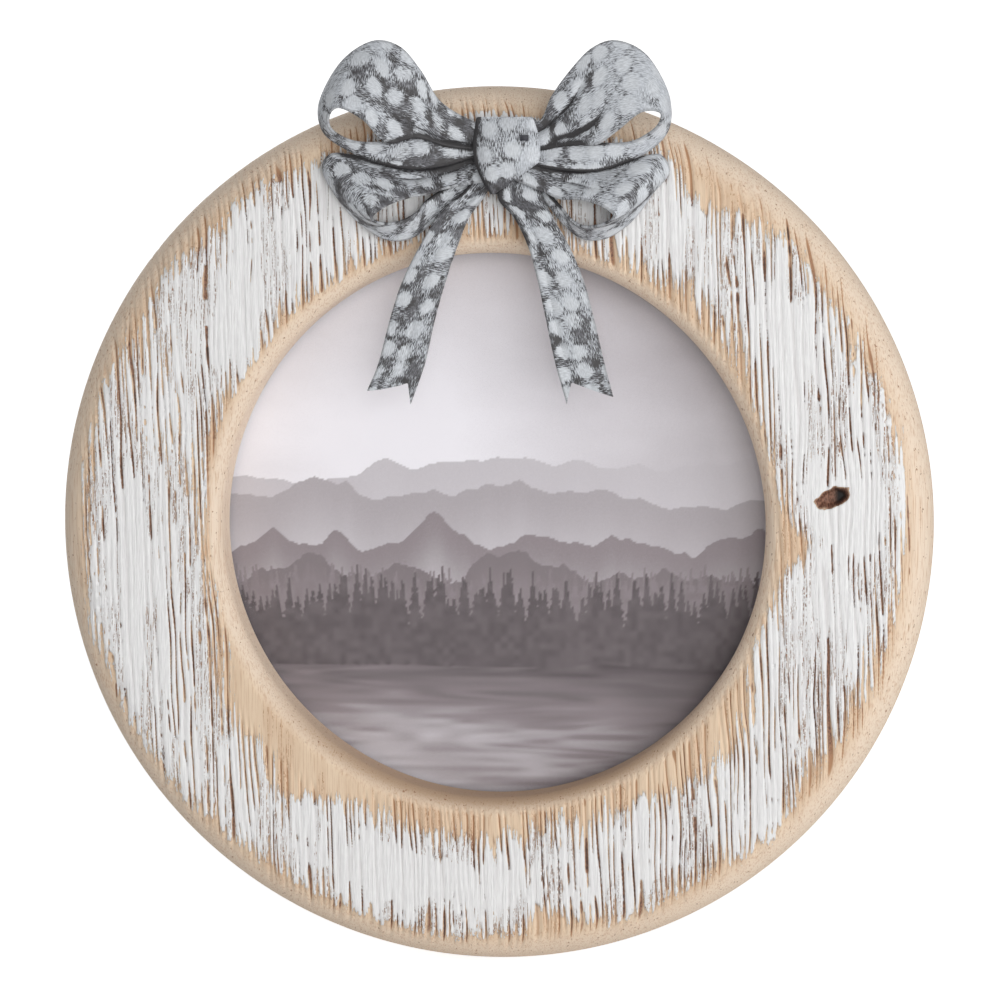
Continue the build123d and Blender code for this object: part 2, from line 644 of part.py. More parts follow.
def bow_knot():
    """Band bent over the roots of the loops: back wall, top and domed front, cut to a shield outline."""
    profile = make_face(
        [
            Line((-2 * KNOT_BOTTOM, 0), (KNOT_TOP - KNOT_BACK_ROUND, 0)),
            CenterArc((KNOT_TOP - KNOT_BACK_ROUND, KNOT_BACK_ROUND), KNOT_BACK_ROUND, -90, 90),
            Line((KNOT_TOP, KNOT_BACK_ROUND), (KNOT_TOP, KNOT_SHOULDER)),
            ThreePointArc(
                (KNOT_TOP, KNOT_SHOULDER),
                (KNOT_TOP / 2, knot_front(KNOT_TOP / 2)),
                (0, KNOT_APEX),
            ),
            ThreePointArc(
                (0, KNOT_APEX),
                (-KNOT_BOTTOM / 2, KNOT_APEX - (KNOT_APEX - KNOT_CHIN) / 4),
                (-KNOT_BOTTOM, KNOT_CHIN),
            ),
            Polyline((-KNOT_BOTTOM, KNOT_CHIN), (-2 * KNOT_BOTTOM, KNOT_CHIN), (-2 * KNOT_BOTTOM, 0)),
        ]
    )
    side_view = Plane(origin=bow_point(0, 0, 0), x_dir=(0, 0, 1), z_dir=(1, 0, 0))
    hollow = offset(profile, -SHEET)
    band = extrude(side_view * (profile - hollow), amount=KNOT_HALF_WIDTH, both=True)
    top_left = (-KNOT_HALF_WIDTH * 0.88, KNOT_TOP)
    top_right = (KNOT_HALF_WIDTH * 0.72, KNOT_TOP)
    right_side = (KNOT_HALF_WIDTH, KNOT_TOP * 0.3)
    right_foot = (KNOT_HALF_WIDTH * 0.97, -KNOT_BOTTOM * 0.24)
    tip_right = (-KNOT_HALF_WIDTH * 0.36, -KNOT_BOTTOM * 0.9)
    tip_left = (-KNOT_HALF_WIDTH * 0.6, -KNOT_BOTTOM * 0.84)
    tip = (-KNOT_HALF_WIDTH * 0.49, -KNOT_BOTTOM * 0.92)
    left_side = (-KNOT_HALF_WIDTH, -KNOT_BOTTOM * 0.08)
    outline = make_face(
        [
            Line(top_left, top_right),
            ThreePointArc(top_right, right_side, right_foot),
            Line(right_foot, tip_right),
            ThreePointArc(tip_right, tip, tip_left),
            ThreePointArc(tip_left, left_side, top_left),
        ]
    )
    band &= plate(Pos(BOW_X, BOW_Z) * outline, RING_FRONT - 2 * KNOT_APEX, RING_FRONT + SHEET)
    band -= brad_hole(RING_FRONT - 2 * KNOT_APEX, RING_FRONT + SHEET)
    seat = RING_FRONT - brad_seat()
    length, width, height = BRAD_HEAD
    pocket = plate(
        Pos(BOW_X, BOW_Z) * Pos(*BRAD_PLACE)
        * Rectangle(length + 2 * BRAD_CLEARANCE, width + 2 * BRAD_CLEARANCE),
        seat - 2 * height,
        seat,
    )
    return band - pocket


def bow_loop_upper_left():
    return ribbon(UPPER_LEFT_LOOP, UPPER_OUTER_HEIGHT, UPPER_INNER_HEIGHT)


def bow_loop_upper_right():
    loop = ribbon(UPPER_RIGHT_LOOP, UPPER_OUTER_HEIGHT, UPPER_INNER_HEIGHT)
    return loop - brad_hole(RING_FRONT - 2 * KNOT_APEX, RING_FRONT)


def bow_loop_lower_left():
    return ribbon(LOWER_LEFT_LOOP, LOWER_OUTER_HEIGHT, LOWER_INNER_HEIGHT)


def bow_loop_lower_right():
    return ribbon(LOWER_RIGHT_LOOP, LOWER_OUTER_HEIGHT, LOWER_INNER_HEIGHT)


def bow_brad():
    """Wire brad with an oblong head, driven through the knot into the wood."""
    seat = RING_FRONT - brad_seat()
    length, width, height = BRAD_HEAD
    place = (BOW_X + BRAD_PLACE[0], BOW_Z + BRAD_PLACE[1])
    head = plate(Pos(*place) * Rectangle(length, width), seat - height, seat)
    return head + bar(place, seat, seat + BRAD_LENGTH, BRAD_RADIUS)


# Assembly
def upright_pieces():
    """Every piece by node name, upright, with the leg opened."""
    pieces = {
        "frame_ring": frame_ring(),
        "glazing": glazing(),
        "photo_print": photo_print(),
        "backing_card": backing_card(),
        "back_panel": back_panel(),
    }
    for number, (angle, place) in enumerate(button_places(), start=1):
        pieces[f"turn_button_{number}"] = turn_button(angle, place)
    pieces["turn_button_screws"] = turn_button_screws()
    pieces["hinge_leaf_panel"] = hinge_leaf_panel()
    pieces["hinge_leaf_leg"] = stopped(opened(hinge_leaf_leg()))
    pieces["hinge_pin"] = hinge_pin()
    pieces["panel_rivets"] = panel_rivets()
    pieces["leg_rivets"] = opened(leg_rivets())
    pieces["easel_leg"] = opened(easel_leg())
    pieces["hanger_strap"] = hanger_strap()
    pieces["hanger_ring"] = hanger_ring()
    pieces["hanger_screw"] = hanger_screw()
    pieces["bow_knot"] = bow_knot()
    pieces["bow_loop_upper_left"] = bow_loop_upper_left()
    pieces["bow_loop_upper_right"] = bow_loop_upper_right()
    pieces["bow_loop_lower_left"] = bow_loop_lower_left()
    pieces["bow_loop_lower_right"] = bow_loop_lower_right()
    pieces["bow_tail_left"] = bow_tail(LEFT_TAIL, 1 - NOTCH_SHARE)
    pieces["bow_tail_right"] = bow_tail(RIGHT_TAIL, NOTCH_SHARE)
    pieces["bow_brad"] = bow_brad()
    return pieces


def standing(pieces):
    """Lean the pieces back, set them on the table, cut the leg's foot and centre the whole over the origin."""
    leaned = Pos(0, 0, -TABLE_Z) * Rot(X=-LEAN)
    placed = {name: leaned * piece for name, piece in pieces.items()}
    room = 4 * RING_RADIUS
    placed["easel_leg"] -= Pos(0, 0, -room / 2) * Box(room, room, room)
    boxes = [piece.bounding_box() for piece in placed.values()]
    front = min(box.min.Y for box in boxes)
    back = max(box.max.Y for box in boxes)
    centred = Pos(0, -(front + back) / 2, 0)
    return {name: centred * piece for name, piece in placed.items()}, centred * leaned


def main():
    pieces, placement = standing(upright_pieces())
    os.makedirs("parts", exist_ok=True)
    for name, piece in pieces.items():
        export_step(piece, f"parts/{name}.step")
    return pieces, placement


PIECES, PLACEMENT = main()
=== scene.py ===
import json
import math
import bmesh
import bpy
import numpy as np
from mathutils import Matrix, Vector


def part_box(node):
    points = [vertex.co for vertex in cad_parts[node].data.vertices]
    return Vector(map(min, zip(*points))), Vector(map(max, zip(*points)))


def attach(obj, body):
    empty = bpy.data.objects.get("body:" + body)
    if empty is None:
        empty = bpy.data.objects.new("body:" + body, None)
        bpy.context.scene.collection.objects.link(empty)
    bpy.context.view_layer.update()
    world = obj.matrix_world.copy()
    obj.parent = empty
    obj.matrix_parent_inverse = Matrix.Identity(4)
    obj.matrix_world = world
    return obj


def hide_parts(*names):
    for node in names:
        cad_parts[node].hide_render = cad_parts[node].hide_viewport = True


# A round wooden photo frame with a painted sheet-metal bow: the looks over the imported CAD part.
# Shapes are worked out in millimetres on the upright frame, X to the right, Y to the back and Z up, with the
# ring's centre on X = Z = 0 and its back face on Y = 0. placed() then leans them back as the CAD stands.

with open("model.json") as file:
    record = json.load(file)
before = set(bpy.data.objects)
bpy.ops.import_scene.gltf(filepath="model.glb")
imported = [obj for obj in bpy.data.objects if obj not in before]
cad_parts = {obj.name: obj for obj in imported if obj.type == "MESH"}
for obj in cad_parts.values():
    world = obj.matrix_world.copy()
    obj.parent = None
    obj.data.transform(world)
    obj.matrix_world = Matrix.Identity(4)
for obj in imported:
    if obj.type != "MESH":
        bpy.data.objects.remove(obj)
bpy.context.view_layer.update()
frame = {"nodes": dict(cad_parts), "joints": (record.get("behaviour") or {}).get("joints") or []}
MM = 0.001
SHARP_ANGLE = math.radians(60.0)

# Wooden ring
RING_RADIUS = 100.0
RING_FRONT = -20.0
APERTURE_RADIUS = 62.0
REBATE_RADIUS = 68.0
REBATE_DEPTH = 7.0
FRONT_OUTER_ROUND = 9.0
FRONT_INNER_ROUND = 5.0
BACK_OUTER_ROUND = 3.0
RING_ANGLES = 1680
FACE_STEPS = 84
OUTER_ROUND_STEPS = 34
INNER_ROUND_STEPS = 18
WALL_STEPS = 10
BACK_ROUND_STEPS = 4
BACK_FACE_STEPS = 8
REBATE_STEPS = 3

# Grain, knot and paint of the ring
GRAIN_PITCH = 1.35
GRAIN_TILT = 0.35
GRAIN_LEAN = 0.04
GROOVE_DEPTH = 0.55
PAINT_FILM = 0.14
SKIN = 0.01
HOLE_X = 77.5
HOLE_Z = 7.5
HOLE_LENGTH = 8.0
HOLE_WIDTH = 4.4
HOLE_DEPTH = 3.0
HOLE_TURN = 22.0
PAINT_INNER_EDGE = 66.3
PAINT_OUTER_EDGE = 93.0
PAINT_EDGE_WIDTH = 6.0
PAINT_FINGERS = 3.6
PAINT_WAVES = 6.0
# Radii where the sanded edges are bare and where the brushed grain begins
INNER_BARE = 63.5
INNER_BRUSHED = 66.5
OUTER_BRUSHED = 92.5
OUTER_BARE = 98.0
# Further sanding of the inner edge at the lower left, and fades of slits and grooves at the outer edge
INNER_SANDING = 7.0
SLIT_FADE = 4.0
GROOVE_FADE = 5.0
# Sideways sway of the grain: reach, width and height of a bend, and seed
GRAIN_SWAYS = [(2.4, 34, 80, 1), (0.8, 7, 24, 2), (1.0, 1.7, 13, 4)]
# Patches with less paint, or with more where the strength is negative: X, Z, half width and height, strength
BARE_PATCHES = [
    (4, 98, 34, 7, 1.1),
    (6, 70, 16, 6, 0.45),
    (52, 78, 8, 10, 0.5),
    (69.5, -3.5, 4, 4.5, 0.8),
    (-64, 66, 10, 14, 0.45),
    (-56, -38, 10, 14, 0.7),
    (-44, -58, 10, 7, 0.6),
    (12, -90, 4, 6, 0.6),
    (-80, 46, 5, 10, 0.5),
    (58, -50, 12, 13, 0.4),
    (-20, -80, 20, 7, -0.35),
    (66, 34, 4, 22, -0.35),
    (78, -18, 6, 14, -0.25),
    (80, 4, 8, 8, -0.6),
    (-82, 2, 4, 16, -0.35),
    (62, -66, 5, 14, -0.3),
    (-60, 40, 5, 16, -0.25),
    (-76, 22, 8, 20, 0.3),
    (1.5, 69.5, 3.2, 4.5, -0.75),
    (0.5, 92, 8, 4.5, -1.6),
]
# Open cracks along the grain: X, lowest and highest Z, and how wide they gape
CRACKS = [
    (-66, 36, 58, 1.7),
    (68.5, 48, 70, 1.7),
    (-82, 26, 44, 1.7),
    (95.4, -27, 9, 0.9),
]
CRACK_TAPER = 3.0

# Picture behind the glass
DISC_RADIUS = 67.7
PRINT_FRONT = -5.0
PRINT_THICKNESS = 0.3
PRINT_GAP = 0.05
PRINT_STEPS = 340
PRINT_BACK_TONE = 0.9
# Ranges of hills, far to near: height of the crest, swell, width, shade and seed
HILLS = [
    (14, 9, 26, 0.74, 61),
    (6, 10, 20, 0.62, 64),
    (-3, 9, 15, 0.50, 67),
    (-12, 7, 11, 0.38, 70),
]
MIST_TONE = 0.86
# Rows of firs: height of the ground, height and width of a tree, shade and seed
FIR_ROWS = [(-20, 11, 2.6, 0.40, 80), (-27, 17, 3.8, 0.16, 90)]
SUN_PLACE = (-22.0, 26.0)
SHORE = -33.0

# Bow, placed by the middle of its knot
BOW_X = 4.5
BOW_Z = 84.9
SHEET = 1.0
LAYER_GAP = 0.2
PAINTED_SHEET = 0.7
RIBBON_CROWN = 0.05
RIBBON_STEPS = 14
RIBBON_COLUMNS = 30
EDGE_COLUMNS = 4
FRONT_ROW = 2
RIM_REACH = 0.3
RIBBON_SPACING = 137.0
# Paleness of the sheets' rims: wear and a painted highlight
RIM_WEAR_AND_HIGHLIGHT = 0.5
RIM_SIDE_WEAR_AND_HIGHLIGHT = 0.15
HAMMER_DEPTH = 0.16
HAMMER_SIZE = 5.0
PLEATS = 5.0
PLEAT_DEPTH = 0.7
PLEAT_REACH = 20.0
PLEAT_ROOT = 4.0
NOTCH_DEPTH = 4.0
NOTCH_SHARE = 0.22
KNOT_HALF_WIDTH = 7.4
KNOT_TOP = 8.0
KNOT_BOTTOM = 10.5
KNOT_APEX = 9.2
KNOT_SHOULDER = 6.6
KNOT_CHIN = 6.4
KNOT_BACK_ROUND = 1.6
KNOT_CURL = 1.9
KNOT_FOLD = 0.35
KNOT_FOOT = 0.9
# Width of the painted shade along the knot's left edge
KNOT_SHADE_WIDTH = 1.0
KNOT_FRONT_ROWS = 48
KNOT_TOP_ROWS = 8
KNOT_COLUMNS = 40


def layer(number):
    """Height of the middle of a sheet in the knot's stack, counted from 1 at the knot's own back wall."""
    return SHEET + (number - 1) * (SHEET + LAYER_GAP) + LAYER_GAP + SHEET / 2


# The bow's ribbons, each with:
# edges, as X and Z of the outer edge and of the inner edge, from the middle of the knot;
# creases, by places along and across as shares, then depth and half width; each is pressed in and also
# darkened with painted shade;
# lap shades, painted shade where strands lap over or under each other: edge (0 outer, 1 inner), share along
# from and to, half width and strength;
# wash of pale grey over the charcoal: shares along, and the amount at each.
RIBBONS = {
    "loop_upper_left": {
        "edges": [
            (-0.6, 5.0, -0.6, 0.4), (-7.3, 6.8, -7.3, 0.5), (-15.1, 11.5, -14.1, 1.4),
            (-19.6, 18.6, -20.2, 3.1), (-24.1, 23.6, -26.8, 2.0), (-30.4, 24.9, -31.8, 7.0),
            (-37.5, 20.3, -37.1, 9.8), (-42.7, 10.8, -39.8, 8.3), (-41.9, 4.7, -39.7, 5.4),
            (-36.3, 0.4, -35.4, 2.8), (-28.3, -2.7, -27.3, 2.4), (-21.5, -3.9, -20.5, 3.8),
            (-14.4, -3.2, -14.3, 2.1), (-7.4, -1.3, -7.4, 1.1), (-0.6, -0.8, -0.6, 2.4),
        ],
        "creases": [
            ([(0.05, 0.80), (0.14, 0.86), (0.21, 0.86), (0.27, 0.74), (0.33, 0.62)], 0.8, 0.8),
            ([(0.08, 0.30), (0.18, 0.40), (0.26, 0.36)], 0.45, 1.2),
        ],
        "lap_shades": [(1, 0.02, 0.31, 1.3, 0.9), (1, 0.72, 0.98, 0.9, 0.8), (0, 0.66, 0.98, 0.7, 0.8)],
        "wash": ([0.0, 0.2, 0.3, 0.42, 0.55, 0.75, 1.0], [-0.1, -0.1, 0.15, 0.5, 0.35, 0.15, 0.0]),
    },
    "loop_upper_right": {
        "edges": [
            (0.6, 5.0, 0.6, 0.4), (7.3, 7.2, 7.3, 0.5), (10.0, 12.6, 12.0, 1.4),
            (14.4, 18.5, 16.6, 1.6), (18.9, 23.1, 20.6, 1.7), (24.3, 24.9, 25.1, 4.7),
            (31.1, 21.7, 30.4, 8.8), (36.1, 12.7, 34.8, 8.5), (36.3, 5.5, 33.6, 5.6),
            (32.2, 0.5, 29.0, 2.8), (25.9, -2.5, 24.8, 2.1), (20.3, -4.2, 19.5, 2.2),
            (12.9, -4.1, 13.0, 2.0), (7.1, -3.2, 7.1, 1.1), (0.6, -0.8, 0.6, 2.4),
        ],
        "creases": [
            ([(0.05, 0.27), (0.14, 0.46), (0.19, 0.42), (0.23, 0.33), (0.28, 0.24)], 0.9, 1.1),
            ([(0.10, 0.84), (0.19, 0.86), (0.29, 0.76), (0.34, 0.64)], 0.9, 1.4),
        ],
        "lap_shades": [(1, 0.02, 0.27, 0.9, 0.8), (1, 0.74, 0.98, 0.6, 0.8), (0, 0.68, 0.98, 0.5, 0.8)],
        "wash": ([0.0, 0.1, 0.22, 0.4, 0.55, 0.75, 1.0], [-0.1, 0.1, 0.5, 0.95, 0.85, 0.7, 0.3]),
    },
    "loop_lower_left": {
        "edges": [
            (-0.6, -1.5, -0.6, -6.0), (-7.5, -0.9, -7.4, -7.1), (-14.7, -2.2, -12.9, -8.0),
            (-21.8, -2.9, -18.2, -9.5), (-29.2, -1.9, -22.3, -10.3), (-35.8, -0.5, -26.2, -11.7),
            (-40.8, -0.5, -28.9, -13.3), (-42.5, -3.6, -30.2, -14.5), (-39.0, -10.3, -29.9, -15.5),
            (-33.9, -16.1, -27.6, -16.1), (-27.9, -19.7, -24.0, -15.4), (-22.2, -19.4, -20.5, -13.3),
            (-17.4, -16.1, -18.4, -10.5), (-7.7, -8.0, -9.3, -5.4), (-2.0, -6.2, -2.0, -2.6),
        ],
        "creases": [([(0.05, 0.20), (0.14, 0.40), (0.24, 0.48), (0.32, 0.50)], 0.6, 1.0)],
        "lap_shades": [(0, 0.02, 0.42, 2.6, 1.0), (1, 0.85, 0.99, 0.8, 0.8)],
        "wash": ([0.0, 0.2, 0.4, 0.5, 0.65, 0.8, 1.0], [0.15, 0.05, -0.1, 0.0, 0.5, 0.3, 0.0]),
    },
    "loop_lower_right": {
        "edges": [
            (0.6, -1.5, 0.6, -6.0), (7.1, -2.8, 8.1, -9.0), (12.7, -3.6, 11.9, -10.5),
            (17.7, -3.7, 15.9, -10.5), (23.9, -2.9, 19.9, -11.5), (30.1, -0.9, 23.0, -13.1),
            (34.3, -0.6, 24.0, -14.1), (36.2, -3.9, 23.6, -15.1), (32.9, -8.5, 22.2, -15.9),
            (27.8, -15.3, 19.2, -16.7), (22.2, -19.2, 16.3, -16.4), (16.9, -19.5, 13.9, -14.8),
            (12.4, -16.4, 11.9, -12.3), (8.4, -11.6, 9.2, -9.0), (3.5, -6.4, 5.5, -3.8),
        ],
        "creases": [([(0.05, 0.20), (0.14, 0.38), (0.21, 0.55), (0.29, 0.72)], 0.6, 1.0)],
        "lap_shades": [(0, 0.02, 0.38, 1.4, 1.0), (1, 0.85, 0.99, 0.8, 0.8)],
        "wash": ([0.0, 0.2, 0.35, 0.5, 0.65, 1.0], [0.3, 0.65, 0.35, 0.2, 0.4, 0.1]),
    },
    "tail_left": {
        "edges": [
            (-6.5, -4.5, -1.5, -2.5), (-10.4, -9.0, -5.2, -9.6), (-15.6, -14.0, -8.6, -14.4),
            (-19.8, -20.8, -11.2, -20.8), (-23.9, -28.7, -13.9, -28.7), (-27.0, -37.8, -16.5, -37.7),
            (-29.7, -47.7, -18.8, -47.6), (-32.1, -53.7, -21.9, -56.6),
        ],
        "creases": [([(0.04, 0.52), (0.50, 0.52), (0.99, 0.56)], 0.3, 0.8)],
        "lap_shades": [(0, 0.02, 0.22, 0.8, 0.9)],
        "wash": ([0.0, 0.3, 0.45, 0.6, 0.8, 1.0], [0.0, 0.2, 0.4, 0.1, 0.0, 0.2]),
    },
    "tail_right": {
        "edges": [
            (0.6, -2.6, 6.4, -2.6), (-2.5, -9.9, 7.9, -9.9), (1.2, -14.3, 10.1, -14.3),
            (4.5, -21.0, 13.8, -20.7), (6.6, -28.6, 17.1, -28.6), (8.4, -37.6, 19.5, -37.6),
            (10.4, -47.2, 21.7, -47.1), (13.0, -56.2, 23.8, -54.7),
        ],
        "creases": [([(0.04, 0.30), (0.40, 0.24), (0.70, 0.18), (0.99, 0.24)], 0.3, 0.8)],
        "lap_shades": [(0, 0.02, 0.45, 1.4, 0.7)],
        "wash": ([0.0, 0.2, 0.4, 0.6, 0.75, 1.0], [0.1, 0.1, 0.5, 0.5, 0.0, 0.2]),
    },
}

# Heights of the ribbons' outer and inner edges above the wood: root to root, or root to tip on the tails
HEIGHTS = {
    "loop_upper": (
        [layer(4), 5.4, 5.8, 6.2, 6.2, 5.8, 5.2, 4.8, 4.7, 4.7, 4.9, 5.0, 4.8, 4.2, layer(3)],
        [layer(4), 5.6, 7.0, 8.4, 9.4, 10.2, 10.2, 9.0, 7.6, 6.4, 6.0, 6.2, 5.4, 4.4, layer(3)],
    ),
    "loop_lower": (
        [layer(3), 3.0, 2.5, 2.2, 2.2, 2.2, 2.0, 1.9, 1.9, 1.9, 1.9, 1.9, 1.9, 1.7, layer(1)],
        [layer(3), 4.8, 5.6, 6.6, 7.2, 7.8, 7.8, 7.4, 6.8, 6.0, 5.0, 3.8, 2.6, 1.9, layer(1)],
    ),
    "tail": ([layer(2), 3.2, 4.4, 4.8, 4.4, 3.6, 3.2, 3.8],) * 2,
}
# Cut ends of the tails: place of the vee's tip across
NOTCHES = {"tail_left": 1 - NOTCH_SHARE, "tail_right": NOTCH_SHARE}

# Camera and light, from the ring's own front
CAMERA_RIGHT = 6.5
CAMERA_ABOVE = 4.5
CAMERA_DISTANCE = 1000.0
PHOTO_SCALE = 0.2267
PHOTO_PIXELS = 1000
RING_PIXEL = (490.25, 527.84)
SENSOR = 36.0
WORLD_LIGHT = 0.30
FLOOR_PALENESS = 0.75
FLOOR_REACH = 6.0
# Lamps: direction to the right, out from the front and up, then distance and size in metres, and watts
LAMPS = {
    "key": (1.3, 0.9, 0.1, 1.4, 0.6, 5.9),
    "front": (0.35, 1.0, 0.1, 1.8, 1.2, 14.3),
    "back": (-0.5, -1.0, 0.35, 1.6, 1.0, 8.0),
}


# Placing
JOINTS = {joint["name"]: joint for joint in frame["joints"]}
RIGHT = np.array((1.0, 0.0, 0.0))
BACK = np.array(JOINTS["turn_button_1_turn"]["axis"])
UP = np.cross(RIGHT, BACK)
PRINT_MIDDLE = PRINT_FRONT + PRINT_THICKNESS / 2
ORIGIN = np.mean(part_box("photo_print"), axis=0) - BACK * PRINT_MIDDLE * MM


def placed(points):
    """Points in millimetres on the upright frame, as metres where the CAD stands."""
    return ORIGIN + np.asarray(points) @ np.array((RIGHT, BACK, UP)) * MM


RING_MIDDLE = placed((0, RING_FRONT, 0))


# Numbers that repeat each run
def hashed(first, second, seed):
    """Number from 0 to 1 that looks random, for a pair of whole numbers."""
    mixed = np.sin(first * 127.1 + second * 311.7 + seed * 74.7) * 43758.5453
    return mixed - np.floor(mixed)


def smooth(low, high, value):
    """0 below low, 1 above high, and a soft step between; low may lie above high."""
    share = np.clip((value - low) / (high - low), 0.0, 1.0)
    return share * share * (3.0 - 2.0 * share)


def noise(x, y, seed):
    """Soft noise from 0 to 1 with one bump to each unit."""
    left = np.floor(x)
    low = np.floor(y)
    share = smooth(0.0, 1.0, x - left)
    rise = smooth(0.0, 1.0, y - low)

    def across(level):
        return hashed(left, level, seed) * (1 - share) + hashed(left + 1, level, seed) * share

    return across(low) * (1 - rise) + across(low + 1) * rise


def layered_noise(x, y, seed, layers=3):
    """Noise with finer noise on it."""
    total = 0.0
    weight = 0.0
    for number in range(layers):
        size = 2.0**number
        total = total + noise(x * size, y * size, seed + number) / size
        weight += 1 / size
    return total / weight


# Meshes
def add_object(name, data):
    made = bpy.data.objects.new(name, data)
    bpy.context.scene.collection.objects.link(made)
    return made


def rows_of(*grids):
    """Grids of numbers as one list, with a number from each grid in every row."""
    return np.stack(np.broadcast_arrays(*grids), axis=-1).reshape(-1, len(grids))


def add_attribute(mesh, name, grids):
    """Store a number for each vertex from a grid, or a vector from a tuple of three."""
    vector = isinstance(grids, tuple)
    kind, field = ("FLOAT_VECTOR", "vector") if vector else ("FLOAT", "value")
    values = rows_of(*grids) if vector else np.asarray(grids)
    mesh.attributes.new(name, kind, "POINT").data.foreach_set(field, values.astype(np.float32).ravel())


def add_piece(name, points, faces, material, node, attributes, map_points=None):
    """Mesh piece from points on the upright frame, standing for a CAD node of the frame body."""
    mesh = bpy.data.meshes.new(name)
    mesh.from_pydata(placed(points).tolist(), [], faces)
    for attribute, grids in attributes.items():
        add_attribute(mesh, attribute, grids)
    if map_points is not None:
        flat_layer = mesh.uv_layers.new(name="OFBake")
        flat_layer.uv.foreach_set("vector", np.asarray(map_points, dtype=np.float32).ravel())
    mesh.materials.append(material)
    mesh.polygons.foreach_set("use_smooth", [True] * len(mesh.polygons))
    mesh.set_sharp_from_angle(angle=SHARP_ANGLE)
    piece = add_object(name, mesh)
    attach(piece, "frame")
    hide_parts(node)
    return piece


def grid_faces(rows, columns, closed_rows, closed_columns):
    """Quads of a grid of points stored row by row."""
    row = np.arange(rows if closed_rows else rows - 1)[:, None]
    column = np.arange(columns if closed_columns else columns - 1)[None, :]
    next_row = (row + 1) % rows
    next_column = (column + 1) % columns
    return rows_of(
        row * columns + column,
        row * columns + next_column,
        next_row * columns + next_column,
        next_row * columns + column,
    )


# Shader nodes
class Signal:
    """A node's output, which can be added, multiplied, stepped and used to mix colours."""

    def __init__(self, graph, socket):
        self.graph = graph
        self.socket = socket

    def __add__(self, other):
        return self.graph.math("ADD", self, other)

    def __sub__(self, other):
        return self.graph.math("SUBTRACT", self, other)

    def __mul__(self, other):
        return self.graph.math("MULTIPLY", self, other)

    def over(self, other):
        """The larger of the two."""
        return self.graph.math("MAXIMUM", self, other)

    def step(self, low, high, to_low=0.0, to_high=1.0):
        """Soft step from one value to another; low may lie above high."""
        inputs = {"Value": self, "From Min": low, "From Max": high, "To Min": to_low, "To Max": to_high}
        return self.graph.node("ShaderNodeMapRange", inputs, "Result", interpolation_type="SMOOTHSTEP")

    def mix(self, first, second):
        """From the first colour, at 0, to the second; a plain colour is given as it shows on a screen."""
        first, second = (each if isinstance(each, Signal) else colour(*each) for each in (first, second))
        return self.graph.node("ShaderNodeMix", {0: self, 6: first, 7: second}, 2, data_type="RGBA")


class Graph:
    """Nodes of a material or a world, with short calls for the kinds used here."""

    def __init__(self, owner, last_node):
        owner.use_nodes = True
        self.owner = owner
        self.tree = owner.node_tree
        self.last = self.tree.nodes[last_node]

    def feed(self, socket, value):
        if isinstance(value, Signal):
            self.tree.links.new(value.socket, socket)
        else:
            socket.default_value = value

    def finish(self, **values):
        """Fill inputs of the last node, such as a material's shader."""
        for key, value in values.items():
            self.feed(self.last.inputs[key.replace("_", " ")], value)
        return self.owner

    def node(self, kind, inputs, output, **settings):
        made = self.tree.nodes.new(kind)
        for key, value in settings.items():
            setattr(made, key, value)
        for key, value in inputs.items():
            self.feed(made.inputs[key], value)
        return Signal(self, made.outputs[output])

    def attribute(self, name, output="Fac"):
        return self.node("ShaderNodeAttribute", {}, output, attribute_name=name)

    def object_place(self):
        return self.node("ShaderNodeTexCoord", {}, "Object")

    def noise(self, vector, scale, detail=2.0, roughness=0.5):
        """Noise with one scale, or with a scale for each axis."""
        if isinstance(scale, tuple):
            vector = self.node("ShaderNodeMapping", {"Vector": vector, "Scale": scale}, "Vector")
            scale = 1.0
        inputs = {"Vector": vector, "Scale": scale, "Detail": detail, "Roughness": roughness}
        return self.node("ShaderNodeTexNoise", inputs, "Fac")

    def math(self, operation, first, second=0.0):
        return self.node("ShaderNodeMath", {0: first, 1: second}, 0, operation=operation)

    def bump(self, height):
        """Surface normal for heights in millimetres."""
        return self.node("ShaderNodeBump", {"Height": height, "Distance": MM, "Strength": 1.0}, "Normal")


def material_graph(name):
    return Graph(bpy.data.materials.new(name), "Principled BSDF")


def colour(red, green, blue):
    """Colour given as it shows on a screen, from 0 to 255."""
    shares = np.array((red, green, blue)) / 255
    linear = np.where(shares <= 0.04045, shares / 12.92, ((shares + 0.055) / 1.055) ** 2.4)
    return (*(float(share) for share in linear), 1.0)


